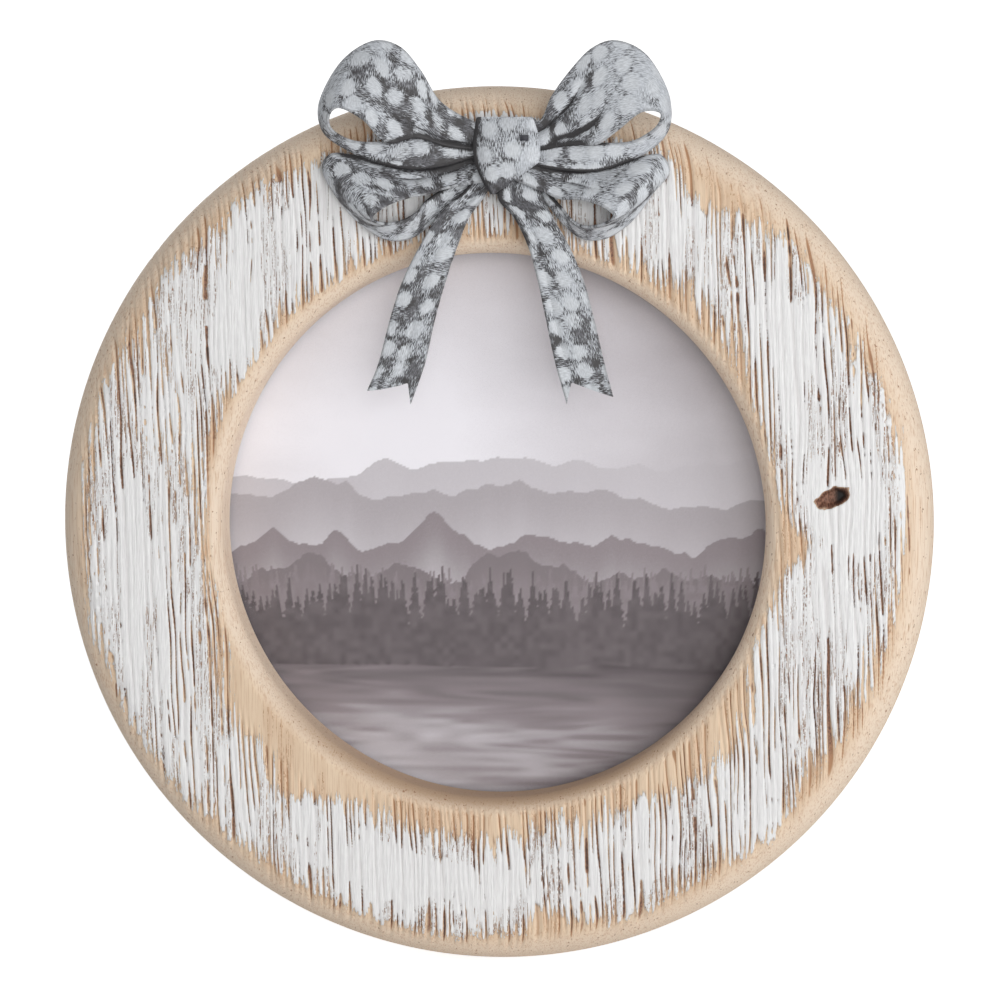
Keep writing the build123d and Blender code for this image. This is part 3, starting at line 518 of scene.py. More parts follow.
# Materials
def make_wood():
    """Softwood with brushed-out grain under white paint that has come off along grooves and at the edges;
    painted shade in the paint's relief lines, on the lower inner wall and in the knot hole.
    """
    graph = material_graph("whitewashed_wood")
    board = graph.attribute("board", "Vector")
    coverage = graph.attribute("coverage")
    sanded = graph.attribute("sanded")
    knot = graph.attribute("knot")
    share = graph.math("FRACT", graph.attribute("phase"))
    valley = graph.math("COSINE", share * (2 * math.pi)) * -0.5 + 0.5
    groove = valley * valley * graph.attribute("depth")
    slit = valley * valley * valley * graph.attribute("open")
    streak = graph.noise(board, (3.4, 3.4, 0.3), 3.0, 0.6)
    fingers = graph.noise(board, (1.7, 1.7, 0.06), 3.0, 0.6)
    fibre = graph.noise(board, (3.4, 3.4, 0.07), 4.0, 0.65)
    crumbs = graph.noise(board, (3.2, 3.2, 1.4), 2.0, 0.6)
    broad = graph.noise(board, (0.22, 0.22, 0.03))
    pits = graph.noise(board, (1.5, 1.5, 0.9)).step(0.66, 0.72)

    off_line = graph.math("ABSOLUTE", fingers - 0.46)
    hair = off_line.step(0.03, 0.008) * crumbs.step(0.40, 0.50) * broad.step(0.44, 0.56)
    hair = hair * coverage.step(1.30, 1.10) * sanded.step(0.3, 0.0)
    deep = groove.over(slit).over(hair)
    hidden = groove * 0.3 + slit.over(hair)
    ragged = (streak - 0.5) * 0.5 + (crumbs - 0.5) * 0.45 + (fingers - 0.5) * 1.3
    level = coverage - hidden + ragged - sanded * 0.5
    film = level.step(0.30, 0.37) * knot.step(0.35, 0.2)

    tan = broad.step(0.3, 0.7).mix((233, 209, 181), (219, 191, 162))
    tan = sanded.mix(tan, (236, 217, 196))
    tan = fibre.step(0.48, 0.66, 0.0, 0.75).mix(tan, (203, 166, 134))
    # Darker towards the bottom of the inner wall: painted shade.
    tan = graph.attribute("lower_inner_wall_shade").mix(tan, (178, 146, 116))
    brown = crumbs.step(0.35, 0.62).mix((92, 64, 54), (156, 116, 92))
    brown = coverage.step(0.6, 0.1).mix(brown, (174, 132, 98))
    brown = slit.step(1.0, 1.5).mix(brown, (64, 46, 38))
    bare = deep.step(0.50, 0.85).mix(tan, brown)
    bare = (pits * sanded).mix(bare, (158, 118, 90))
    knot_wood = crumbs.step(0.4, 0.6).mix((104, 72, 58), (152, 112, 92))
    bare = knot.mix(bare, knot_wood)
    # Right part of the knot hole turns nearly black: painted shade in the hole.
    bare = graph.attribute("knot_hole_shade").mix(bare, (16, 11, 9))
    white = streak.step(0.35, 0.7).mix((232, 231, 231), (243, 243, 242))
    # Grey lines in the white paint along its relief and along filled grooves: painted shade.
    white = fingers.step(0.42, 0.34, 0.0, 0.45).mix(white, (204, 199, 200))
    white = deep.step(0.2, 1.0, 0.0, 0.45).mix(white, (206, 201, 200))

    ridges = streak * 0.14 + fingers * 0.2
    surface = graph.node("ShaderNodeMix", {0: film, 2: fibre * 0.12, 3: ridges}, 0)
    return graph.finish(
        Base_Color=film.mix(bare, white),
        Roughness=film.step(0.0, 1.0, 0.68, 0.52),
        Normal=graph.bump(surface + film * 0.12),
    )


def make_bow_paint():
    """Charcoal paint with brushed round dots in pale grey, washed over in places; painted shade in creases,
    under laps and along borders, and pale rims of wear and painted highlight.
    """
    graph = material_graph("bow_paint")
    ribbon = graph.attribute("ribbon", "Vector")
    wash = graph.attribute("wash")
    wobble = graph.node("ShaderNodeTexNoise", {"Vector": ribbon, "Scale": 0.45, "Detail": 2.0}, "Color")
    shift = graph.node("ShaderNodeVectorMath", {0: wobble, 1: (0.5, 0.5, 0.5)}, 0, operation="SUBTRACT")
    spread = {0: shift, 1: (1.4, 1.4, 0.0), 2: ribbon}
    moved = graph.node("ShaderNodeVectorMath", spread, 0, operation="MULTIPLY_ADD")
    cells = {"Vector": moved, "Scale": 0.185, "Randomness": 0.5}
    distance = graph.node("ShaderNodeTexVoronoi", cells, "Distance", voronoi_dimensions="2D")
    chance = graph.node("ShaderNodeTexVoronoi", cells, "Color", voronoi_dimensions="2D")
    strokes = graph.noise(ribbon, (0.9, 5.2, 1.0), 4.0, 0.6)
    hatch = graph.noise(ribbon, (5.0, 0.9, 1.0), 4.0, 0.6)
    blotch = graph.noise(ribbon, (0.35, 0.35, 1.0), 4.0, 0.6)
    patches = graph.noise(ribbon, (0.13, 0.13, 1.0), 1.0)
    cloud = graph.noise(ribbon, (0.17, 0.2, 1.0)) - 0.5
    crossed = patches.step(0.52, 0.62).mix(strokes, hatch)

    brushed = crossed.step(0.38, 0.62)
    uneven = blotch - 0.5
    near = distance + uneven * 0.2 + chance * 0.08
    dots = near.step(0.49, 0.21) * wash.step(-0.9, -0.3) * chance.step(0.25, 0.65, 0.6, 1.0)
    cover = dots * 1.4 + wash * 0.75 + brushed * 0.85 + uneven + cloud * 3.0
    painted = cover.step(0.44, 1.10)
    base = brushed.mix((56, 54, 56), (112, 113, 118))
    base = blotch.step(0.52, 0.40).mix(base, (54, 52, 53))
    pale = brushed.mix((160, 164, 170), (208, 212, 218))
    pale = (dots * 0.5).mix(pale, (222, 225, 228))
    shown = painted.mix(base, pale)
    # Darker along the sheets' borders: painted shade.
    shown = graph.attribute("border").step(0.5, 0.0, 0.0, 0.4).mix(shown, (60, 58, 60))
    # Paler rims: wear, and a painted highlight.
    worn_and_lit_edge = graph.attribute("edge") * blotch.step(0.48, 0.58)
    shown = worn_and_lit_edge.mix(shown, (196, 199, 202))
    # Near black along creases, laps and the knot's left edge: painted shade.
    painted_shade_mask = (graph.attribute("painted_shade") - (crossed - 0.5) * 0.9).step(0.25, 0.65)
    return graph.finish(
        Base_Color=painted_shade_mask.mix(shown, (36, 34, 36)),
        Roughness=brushed.step(0.0, 1.0, 0.64, 0.52),
        Normal=graph.bump(crossed * 0.05 + painted * 0.03),
    )


def make_print():
    """Grey print on matt paper."""
    graph = material_graph("print_paper")
    grain = graph.noise(graph.object_place(), 2500.0)
    ramp = graph.tree.nodes.new("ShaderNodeValToRGB")
    graph.feed(ramp.inputs["Fac"], graph.attribute("tone") + (grain - 0.5) * 0.06)
    ramp.color_ramp.elements[0].color = colour(44, 36, 38)
    ramp.color_ramp.elements[1].color = colour(244, 241, 247)
    ramp.color_ramp.elements.new(0.5).color = colour(146, 136, 140)
    return graph.finish(
        Base_Color=Signal(graph, ramp.outputs["Color"]),
        Roughness=grain.step(0.3, 0.7, 0.55, 0.65),
        Specular_IOR_Level=0.3,
    )


def make_glass():
    """Clear pane with a weak shine."""
    graph = material_graph("clear_glass")
    tint = graph.noise(graph.object_place(), 40.0, 1.0)
    return graph.finish(
        Base_Color=tint.mix((240, 247, 245), (248, 251, 250)),
        Alpha=0.05,
        Roughness=0.05,
        Transmission_Weight=1.0,
        IOR=1.45,
        Specular_IOR_Level=0.2,
    )


def make_steel(name, pale, dark, rough):
    """Plated steel with fine rolling marks and dull spots."""
    graph = material_graph(name)
    place = graph.object_place()
    marks = graph.noise(place, (900.0, 5000.0, 900.0), 3.0)
    spots = graph.noise(place, 600.0, 3.0)
    return graph.finish(
        Base_Color=spots.step(0.3, 0.7).mix(dark, pale),
        Metallic=1.0,
        Roughness=spots.step(0.3, 0.7, rough, rough + 0.18),
        Normal=graph.bump(marks * 0.01),
    )


def make_board(name, pale, dark, speck):
    """Pressed fibre: short strands, specks and a faint mottle."""
    graph = material_graph(name)
    place = graph.object_place()
    strands = graph.noise(place, (2200.0, 900.0, 700.0), 4.0, 0.7)
    mottle = graph.noise(place, 60.0, 3.0)
    specks = graph.noise(place, 1500.0)
    shown = mottle.step(0.3, 0.7).mix(dark, pale)
    shown = strands.step(0.45, 0.75, 0.0, 0.6).mix(shown, dark)
    return graph.finish(
        Base_Color=specks.step(0.68, 0.74).mix(shown, speck),
        Roughness=strands.step(0.3, 0.7, 0.6, 0.8),
        Normal=graph.bump(strands * 0.08),
    )


# Wooden ring
def ring_section():
    """Stations round the ring's section: radius, depth and the outward direction of each."""
    front_outer = (RING_RADIUS - FRONT_OUTER_ROUND, RING_FRONT + FRONT_OUTER_ROUND)
    front_inner = (APERTURE_RADIUS + FRONT_INNER_ROUND, RING_FRONT + FRONT_INNER_ROUND)
    back_outer = (RING_RADIUS - BACK_OUTER_ROUND, -BACK_OUTER_ROUND)
    stations = []

    def straight(start, end, outward, steps):
        for share in np.arange(steps) / steps:
            stations.append((*(a + (b - a) * share for a, b in zip(start, end)), *outward))

    def arc(centre, radius, first, last, steps):
        for step in range(steps):
            turn = math.radians(first + (last - first) * step / steps)
            outward = (math.cos(turn), math.sin(turn))
            stations.append((*(c + radius * o for c, o in zip(centre, outward)), *outward))

    straight((APERTURE_RADIUS, -REBATE_DEPTH), (APERTURE_RADIUS, front_inner[1]), (-1, 0), WALL_STEPS)
    arc(front_inner, FRONT_INNER_ROUND, 180, 270, INNER_ROUND_STEPS)
    straight((front_inner[0], RING_FRONT), (front_outer[0], RING_FRONT), (0, -1), FACE_STEPS)
    arc(front_outer, FRONT_OUTER_ROUND, -90, 0, OUTER_ROUND_STEPS)
    straight((RING_RADIUS, front_outer[1]), (RING_RADIUS, back_outer[1]), (1, 0), WALL_STEPS)
    arc(back_outer, BACK_OUTER_ROUND, 0, 90, BACK_ROUND_STEPS)
    straight((back_outer[0], 0), (REBATE_RADIUS, 0), (0, 1), BACK_FACE_STEPS)
    straight((REBATE_RADIUS, 0), (REBATE_RADIUS, -REBATE_DEPTH), (-1, 0), REBATE_STEPS)
    straight((REBATE_RADIUS, -REBATE_DEPTH), (APERTURE_RADIUS, -REBATE_DEPTH), (0, 1), REBATE_STEPS)
    return np.array(stations)


def hole_distance(x, z):
    """Distance from the knot hole's middle, 1 at its rim."""
    turn = math.radians(HOLE_TURN)
    along = (x - HOLE_X) * math.cos(turn) + (z - HOLE_Z) * math.sin(turn)
    across = (z - HOLE_Z) * math.cos(turn) - (x - HOLE_X) * math.sin(turn)
    rim = 1 + 0.3 * (noise(x * 0.9, z * 0.9, 41) - 0.5)
    return np.hypot(along / (HOLE_LENGTH / 2), across / (HOLE_WIDTH / 2)) * rim


def growth_lines(x, y, z):
    """Count of growth lines from the left, which sway along the board and part round the knot."""
    sway = 0.0
    for reach, wide, tall, seed in GRAIN_SWAYS:
        sway = sway + reach * (noise(x / wide, z / tall, seed) - 0.5)
    sway = sway + GRAIN_LEAN * z
    side = (x - HOLE_X) * np.exp(-(((x - HOLE_X) / 7) ** 2) - ((z - HOLE_Z) / 10) ** 2)
    count = (x + GRAIN_TILT * (y - RING_FRONT) + sway - 0.45 * side) / GRAIN_PITCH
    return count + (noise(count * 0.55, 0 * count, 3) - 0.5)


def inner_sanding(x, z):
    """How much further out the inner edge is sanded smooth at the lower left."""
    return INNER_SANDING * smooth(-18, -40, x) * smooth(-25, -42, z)


def groove_depth(phase, radius, x, y, z):
    """How deep each groove is brushed out along its line, fading towards the sanded edges."""
    line = np.floor(phase)
    along = noise(line * 7.31, z / 17 + 40 * hashed(line, 0, 5), 6)
    depth = smooth(0.05, 0.5, along) * (0.6 + 0.4 * hashed(line, 1, 7))
    ends = 3.0 * (noise(line * 3.17, z / 30, 8) - 0.5)
    outer_ends = radius + ends - 2.0 * smooth(10, 40, z)
    depth = depth * smooth(OUTER_BARE, OUTER_BARE - GROOVE_FADE, outer_ends)
    depth = depth * smooth(INNER_BARE, INNER_BRUSHED, radius + 0.3 * ends - inner_sanding(x, z))
    return depth * (y < RING_FRONT + FRONT_OUTER_ROUND)


def groove_open(phase, coverage, x, z, radius):
    """How far the paint has come off along each groove: 0 where it is filled, above 1 a wide slot."""
    line = np.floor(phase)
    runs = noise(line * 4.37, z / 12 + 50 * hashed(line, 3, 21), 22)
    dashes = noise(line * 9.1, z / 1.8, 23)
    filled = smooth(0.50, 0.66, layered_noise(x / 9, z / 20 + 1.2 * hashed(line, 5, 27), 24))
    wide = 0.8 + 0.6 * smooth(0.55, 0.8, noise(line * 2.9, z / 9 + 20 * hashed(line, 4, 26), 25))
    opened = wide * smooth(0.15, 0.6, runs + 0.4 * (dashes - 0.5)) * (1 - 0.8 * filled)
    opened = opened * smooth(1.38, 1.12, coverage)
    opened = opened * smooth(OUTER_BARE, OUTER_BARE - SLIT_FADE, radius)
    opened = opened * smooth(INNER_BARE, INNER_BRUSHED, radius - inner_sanding(x, z))
    for crack_x, low, high, gape in CRACKS:
        crack = np.floor(growth_lines(np.array([crack_x]), RING_FRONT, np.array([(low + high) / 2])))
        length = smooth(low - CRACK_TAPER, low + CRACK_TAPER, z)
        length = length * smooth(high + CRACK_TAPER, high - CRACK_TAPER, z)
        torn = gape * length * smooth(0.15, 0.75, 0.6 * dashes + 0.4 * runs)
        opened = np.where(line == crack, np.maximum(opened, torn), opened)
    return opened


def paint_coverage(phase, x, y, z, radius):
    """How well the paint covers each place: 0 bare, 1 all but the open grooves."""
    ridge = np.floor(phase + 0.5)
    fingers = PAINT_FINGERS * (noise(ridge * 5.7, z / 26 + 30 * hashed(ridge, 2, 9), 10) - 0.5)
    waves = PAINT_WAVES * (layered_noise(x / 16, z / 26, 11) - 0.5)
    inner_edge = PAINT_INNER_EDGE + 4.7 * smooth(-20, -60, z) + 3.0 * smooth(10, 40, x) * smooth(15, 40, z)
    outer_edge = PAINT_OUTER_EDGE + 2.8 * smooth(-30, -85, x)
    inner = (radius - inner_edge + fingers + waves) / PAINT_EDGE_WIDTH
    outer = (outer_edge - radius + fingers + waves) / PAINT_EDGE_WIDTH
    coverage = np.clip(np.minimum(inner, outer), -0.6, 1.0) * 0.65 + 0.4
    coverage = coverage + 0.5 * (layered_noise(x / 13, z / 32, 14) - 0.45)
    coverage = coverage + 0.20 * (noise(ridge * 2.3, z / 14, 17) - 0.5)
    for patch_x, patch_z, half_width, half_height, strength in BARE_PATCHES:
        away = ((x - patch_x) / half_width) ** 2 + ((z - patch_z) / half_height) ** 2
        coverage = coverage - strength * np.exp(-away)
    return np.where(y < RING_FRONT + FRONT_OUTER_ROUND, coverage, 0.0)


def make_ring(material):
    """Ring swept from its section, with grooves, paint edges and the knot hole in relief."""
    section = ring_section()
    turn = np.linspace(0, 2 * math.pi, RING_ANGLES, endpoint=False)[:, None]
    radius = section[None, :, 0] + 0 * turn
    x = radius * np.cos(turn)
    y = section[None, :, 1] + 0 * turn
    z = radius * np.sin(turn)

    phase = growth_lines(x, y, z)
    depth = groove_depth(phase, radius, x, y, z)
    coverage = paint_coverage(phase, x, y, z, radius)
    opened = groove_open(phase, coverage, x, z, radius)
    valley = 0.5 - 0.5 * np.cos(2 * math.pi * phase)
    groove = valley**2 * depth
    bare = smooth(0.42, 0.30, coverage - 0.3 * groove - opened * valley**3)
    from_hole = hole_distance(x, z)
    front = y < RING_FRONT + FRONT_INNER_ROUND
    hole = smooth(1.0, 0.55, from_hole) * front
    height = -PAINT_FILM * bare - GROOVE_DEPTH * groove * (0.35 + 0.65 * bare) - HOLE_DEPTH * hole - SKIN

    sanded = np.maximum(smooth(OUTER_BRUSHED, OUTER_BARE, radius), smooth(INNER_BRUSHED, INNER_BARE, radius))
    outward = height * section[None, :, 2]
    backward = height * section[None, :, 3]
    points = rows_of(x + outward * np.cos(turn), y + backward, z + outward * np.sin(turn))
    attributes = {
        "board": (x, y, z),
        "phase": phase,
        "depth": depth,
        "open": opened,
        "coverage": coverage,
        "sanded": sanded,
        # Painted shade on the lower part of the inner wall.
        "lower_inner_wall_shade": smooth(66.0, 62.5, radius) * smooth(-30, -60, z) * 0.8,
        "knot": smooth(1.06, 0.92, from_hole) * front,
        # Painted shade in the right part of the knot hole.
        "knot_hole_shade": hole * smooth(-0.3, 1.2, x - HOLE_X),
    }
    stations = len(section)
    faces = grid_faces(RING_ANGLES, stations, True, True).tolist()
    flat_map = ring_map(stations)
    add_piece("wood_ring", points, faces, material, "frame_ring", attributes, flat_map)


def ring_map(stations):
    """Flat map of the ring for its corners: four quarter turns, one above the other."""
    quarter = RING_ANGLES // 4
    turn = np.repeat(np.arange(RING_ANGLES), stations)
    station = np.tile(np.arange(stations), RING_ANGLES)
    corners = []
    for turn_step, station_step in ((0, 0), (0, 1), (1, 1), (1, 0)):
        across = (turn % quarter + turn_step) / quarter
        upward = (turn // quarter + 0.02 + 0.96 * (station + station_step) / stations) / 4
        corners.append(rows_of(0.01 + 0.98 * across, upward))
    return np.stack(corners, axis=1).reshape(-1, 2)


# Picture
def picture_tone(x, z):
    """Misty hills, fir woods and a lake, from 0 dark to 1 pale."""
    tone = 0.96 - 0.22 * smooth(-25, 60, x) - 0.08 * smooth(10, 62, z)
    tone = tone - 0.10 * (layered_noise(x / 30, z / 12, 60, 4) - 0.5)
    sun = np.hypot(x - SUN_PLACE[0], z - SUN_PLACE[1])
    tone = tone + 0.10 * np.exp(-((sun / 22) ** 2)) + 0.06 * smooth(7.4, 6.8, sun)
    for base, swell, width, shade, seed in HILLS:
        crest = base + swell * (layered_noise(x / width, 0 * x, seed, 4) - 0.5) * 2
        below = crest - z
        veiled = shade + (MIST_TONE - shade) * 0.65 * smooth(0.0, 22.0, below)
        tone = np.where(below > 0, veiled, tone)
    for base, tall, wide, shade, seed in FIR_ROWS:
        needles = shade + 0.10 * noise(x / 1.5, z / 1.5, seed)
        tone = np.where(fir_wood(x, z, base, tall, wide, seed), needles, tone)
    shore = SHORE + 1.2 * (noise(x / 12, 0 * x, 95) - 0.5)
    ripples = noise(x / 9 + 3 * noise(x / 30, z / 3, 96), z / 1.1, 97)
    water = 0.56 + 0.10 * smooth(-34, -60, z) + 0.20 * (ripples - 0.5) - 0.22 * smooth(-48, -34, z)
    water = water - 0.14 * smooth(-20, 40, x)
    return np.where(z < shore, water, tone)


def fir_wood(x, z, base, tall, wide, seed):
    """True inside a row of fir trees that stands on a soft line."""
    ground = base + 3.0 * (noise(x / 18, 0 * x, seed) - 0.5)
    inside = z < ground
    for shift in range(3):
        cell = np.floor(x / wide + shift / 3)
        trunk = (cell + 0.5 - shift / 3 + 0.5 * (hashed(cell, shift, seed) - 0.5)) * wide
        top = tall * (0.45 + 0.55 * hashed(cell, shift, seed + 1))
        rise = (z - ground) / top
        boughs = 0.62 + 0.38 * np.abs(2 * ((rise * 7) % 1) - 1)
        inside = inside | ((np.abs(x - trunk) < 0.62 * wide * (1 - rise) * boughs) & (rise < 1))
    return inside


def make_picture(material):
    """Paper disc with a fine even grid on its front, closed by a rim and a back."""
    steps = np.linspace(-1, 1, PRINT_STEPS)
    across, upward = np.meshgrid(steps, steps)
    x = DISC_RADIUS * across * np.sqrt(1 - upward**2 / 2)
    z = DISC_RADIUS * upward * np.sqrt(1 - across**2 / 2)
    front = rows_of(x, PRINT_FRONT + PRINT_GAP, z)
    faces = grid_faces(PRINT_STEPS, PRINT_STEPS, False, False).tolist()
    index = np.arange(PRINT_STEPS**2).reshape(PRINT_STEPS, PRINT_STEPS)
    rim = np.concatenate([index[0, :-1], index[:-1, -1], index[-1, :0:-1], index[:0:-1, 0]])
    back = front[rim] + (0, PRINT_THICKNESS - PRINT_GAP, 0)
    behind = len(front) + np.arange(len(rim))
    faces += rows_of(np.roll(rim, -1), rim, behind, np.roll(behind, -1)).tolist()
    faces.append(behind[::-1].tolist())
    tone = np.concatenate([picture_tone(front[:, 0], front[:, 2]), np.full(len(rim), PRINT_BACK_TONE)])
    points = np.concatenate([front, back])
    add_piece("picture_print", points, faces, material, "photo_print", {"tone": tone})


# Bow
def smooth_line(points, knots):
    """Dense curve through the stations that follows them without swinging wide."""
    spans = np.diff(knots)[:, None]
    chords = np.diff(points, axis=0) / spans
    wide = (points[2:] - points[:-2]) / (spans[1:] + spans[:-1])
    slopes = np.concatenate([chords[:1], chords[1:] + chords[:-1] - wide, chords[-1:]])
    t = np.linspace(0, 1, RIBBON_STEPS, endpoint=False)[:, None]
    curve = (
        points[:-1, None] * (1 + 2 * t) * (1 - t) ** 2
        + (slopes[:-1] * spans)[:, None] * t * (1 - t) ** 2
        + points[1:, None] * t**2 * (3 - 2 * t)
        + (slopes[1:] * spans)[:, None] * t**2 * (t - 1)
    )
    return np.concatenate([curve.reshape(-1, 3), points[-1:]])


def bow_points(places, heights):
    return rows_of(BOW_X + places[:, 0], RING_FRONT - np.array(heights), BOW_Z + places[:, 1])


def sampled(rows, share):
    """Rows of a curve at shares of its length, from 0 to 1."""
    at = np.clip(share, 0, 1) * (len(rows) - 1)
    low = np.minimum(at.astype(int), len(rows) - 2)
    part = (at - low)[..., None]
    return rows[low] * (1 - part) + rows[low + 1] * part


def unit(vectors):
    return vectors / np.maximum(np.linalg.norm(vectors, axis=-1, keepdims=True), 1e-9)


def front_normals(sheet, row):
    """Directions square to a grid of points, turned so that the middle of one row faces the front."""
    normal = unit(np.cross(np.gradient(sheet, axis=0), np.gradient(sheet, axis=1)))
    return -normal if normal[row, sheet.shape[1] // 2, 1] > 0 else normal


def make_ribbon(name, material, number):
    """Sheet ribbon between its two edges, with rounded rims and creases; a tail has a cut end."""
    ribbon = RIBBONS[name]
    edges = np.array(ribbon["edges"])
    outer_height, inner_height = HEIGHTS[name.rpartition("_")[0]]
    outer = bow_points(edges[:, :2], outer_height)
    inner = bow_points(edges[:, 2:], inner_height)
    steps = np.linalg.norm(np.diff(outer + inner, axis=0), axis=1) / 2
    knots = np.concatenate([[0], np.cumsum(np.sqrt(steps))])
    outer = smooth_line(outer, knots)
    inner = smooth_line(inner, knots)
    middle = (outer + inner) / 2
    lengths = np.concatenate([[0], np.cumsum(np.linalg.norm(np.diff(middle, axis=0), axis=1))])

    along = np.linspace(0, 1, len(middle))[:, None]
    across = np.linspace(0, 1, RIBBON_COLUMNS)[None, :]
    reach = along + 0 * across
    if name in NOTCHES:
        tip = NOTCHES[name]
        vee = np.where(across < tip, across / tip, (1 - across) / (1 - tip))
        reach = along * (1 - NOTCH_DEPTH / lengths[-1] * vee)
    left = sampled(outer, reach)
    right = sampled(inner, reach)
    inset = unit(right - left) * RIM_REACH
    left = left + inset
    right = right - inset
    sheet = left * (1 - across[..., None]) + right * across[..., None]
    width = np.linalg.norm(right - left, axis=-1)

    normal = front_normals(sheet, FRONT_ROW)
    crown = RIBBON_CROWN * width * np.sin(math.pi * reach) ** 2 * 4 * across * (1 - across)
    distance = sampled(lengths[:, None], reach)[..., 0]
    sideways = (across - 0.5) * width
    # The creases are pressed in; they and the laps between strands also get painted shade.
    dent, shade = crease_relief(reach, across, width, ribbon["creases"])
    shade = np.maximum(shade, seam_shade(reach, across, width, ribbon["lap_shades"]))
    shade = shade * (0.55 + 0.8 * layered_noise(distance / 4 + 7 * number, sideways / 4, 127))
    dents = layered_noise(distance / HAMMER_SIZE + 31 * number, sideways / HAMMER_SIZE, 120) - 1.0
    from_root = np.minimum(distance, lengths[-1] - distance)
    pleats = layered_noise(across * PLEATS + 11 * number, 0 * across + 0.5, 121, 2) - 0.8
    hammered = HAMMER_DEPTH * dents + PLEAT_DEPTH * pleats * smooth(PLEAT_REACH, PLEAT_ROOT, from_root)
    sheet = sheet + normal * (crown - dent + hammered * np.sin(math.pi * reach))[..., None]
    normal = front_normals(sheet, FRONT_ROW)
    mottle = layered_noise(distance / 13 + 17 * number, sideways / 9, 125) - 0.5
    washed = np.interp(reach, *ribbon["wash"]) + 0.9 * mottle
    looks = {"painted_shade": shade, "wash": washed, "border": width / 2 - np.abs(sideways)}
    add_sheet(name, sheet, normal, distance, sideways, looks, material, number)


def crease_relief(reach, across, width, creases):
    """Depth of the pressed creases, and the painted shade along them."""
    dent = np.zeros_like(reach)
    shade = np.zeros_like(reach)
    for places, depth, half in creases:
        along, aside = zip(*places)
        beside = (across - np.interp(reach, along, aside)) * width / half
        start = smooth(along[0] - 0.03, along[0] + 0.03, reach)
        pressed = depth * start * smooth(along[-1] + 0.02, along[-1] - 0.08, reach)
        dent = dent + pressed * np.exp(-(beside**2))
        shade = np.maximum(shade, pressed * np.exp(-((beside * 1.3) ** 2)))
    return dent, shade


def seam_shade(reach, across, width, lap_shades):
    """Painted shade along the edges that lie over or under another strand."""
    shade = np.zeros_like(reach)
    for side, start, end, half, strength in lap_shades:
        beside = np.abs(across - side) * width / half
        span = smooth(start - 0.02, start + 0.02, reach) * smooth(end + 0.03, end - 0.06, reach)
        shade = np.maximum(shade, strength * span * np.exp(-(beside**2)))
    return shade


def add_sheet(name, sheet, normal, distance, sideways, looks, material, number):
    """Close a grid of middle points into a sheet: front, half-round rim, back and the other rim."""
    rows, columns = sheet.shape[:2]
    face = np.arange(columns)
    turns = math.pi * np.arange(1, EDGE_COLUMNS) / EDGE_COLUMNS
    order = np.concatenate([face, 0 * turns + columns - 1, face[::-1], 0 * turns]).astype(int)
    lift = np.concatenate([0 * face + 1, np.cos(turns), 0 * face - 1, -np.cos(turns)])[:, None]
    reach = RIM_REACH * np.concatenate([0 * face, np.sin(turns), 0 * face, np.sin(turns)])[:, None]
    outward = unit(sheet[:, order] - sheet[:, np.clip(order, 1, columns - 2)])
    points = sheet[:, order] + lift * normal[:, order] * PAINTED_SHEET / 2 + reach * outward
    points = points.reshape(-1, 3)
    # Rims get paler: wear and a painted highlight.
    rim_wear_and_highlight = np.where(reach > 0, RIM_WEAR_AND_HIGHLIGHT, 0.0)
    rim_wear_and_highlight[[0, columns - 1]] = RIM_SIDE_WEAR_AND_HIGHLIGHT

    around = len(order)
    faces = grid_faces(rows, around, False, True).tolist()
    for row in (0, rows - 1):
        faces.extend(cap_faces(range(row * around, (row + 1) * around), columns))
    attributes = {key: grid[:, order] for key, grid in looks.items()}
    attributes["edge"] = np.tile(rim_wear_and_highlight[:, 0], rows)
    attributes["ribbon"] = (distance[:, order] + RIBBON_SPACING * number, sideways[:, order], 0.0)
    piece = add_piece("painted_" + name, points, faces, material, "bow_" + name, attributes)
    fix_normals(piece.data)


def cap_faces(cap, columns):
    """Quads between the two faces of a sheet's end, and one face over each rim."""
    back_start = columns + EDGE_COLUMNS - 1
    back_end = back_start + columns
    top = cap[:columns]
    bottom = cap[back_start:back_end][::-1]
    made = [[top[i], top[i + 1], bottom[i + 1], bottom[i]] for i in range(columns - 1)]
    made.append([top[-1], *cap[columns:back_start], bottom[-1]])
    made.append([bottom[0], *cap[back_end:], top[0]])
    return made


def fix_normals(mesh):
    """Make all faces of a closed mesh look outward."""
    shell = bmesh.new()
    shell.from_mesh(mesh)
    bmesh.ops.recalc_face_normals(shell, faces=shell.faces)
    shell.to_mesh(mesh)
    shell.free()


def knot_profile():
    """Z and height along the knot's band, from its chin over the front and top to the foot of its back."""
    front = np.linspace(-KNOT_BOTTOM * KNOT_FOOT, KNOT_TOP, KNOT_FRONT_ROWS)
    rise = KNOT_APEX - KNOT_SHOULDER
    radius = (KNOT_TOP**2 + rise**2) / (2 * rise)
    upper = KNOT_APEX - radius + np.sqrt(radius**2 - front**2)
    lower = KNOT_APEX - (KNOT_APEX - KNOT_CHIN) * (front / KNOT_BOTTOM) ** 2
    stations = list(zip(front, np.where(front > 0, upper, lower)))
    for height in np.linspace(KNOT_SHOULDER, KNOT_BACK_ROUND, KNOT_TOP_ROWS, endpoint=False)[1:]:
        stations.append((KNOT_TOP, height))
    for turn in np.linspace(0, math.pi / 2, KNOT_TOP_ROWS):
        z = KNOT_TOP - KNOT_BACK_ROUND * (1 - math.cos(turn))
        stations.append((z, KNOT_BACK_ROUND * (1 - math.sin(turn))))
    for z in np.linspace(KNOT_TOP - KNOT_BACK_ROUND, -KNOT_BOTTOM * KNOT_FOOT, KNOT_TOP_ROWS)[1:]:
        stations.append((z, 0.0))
    return np.array(stations)


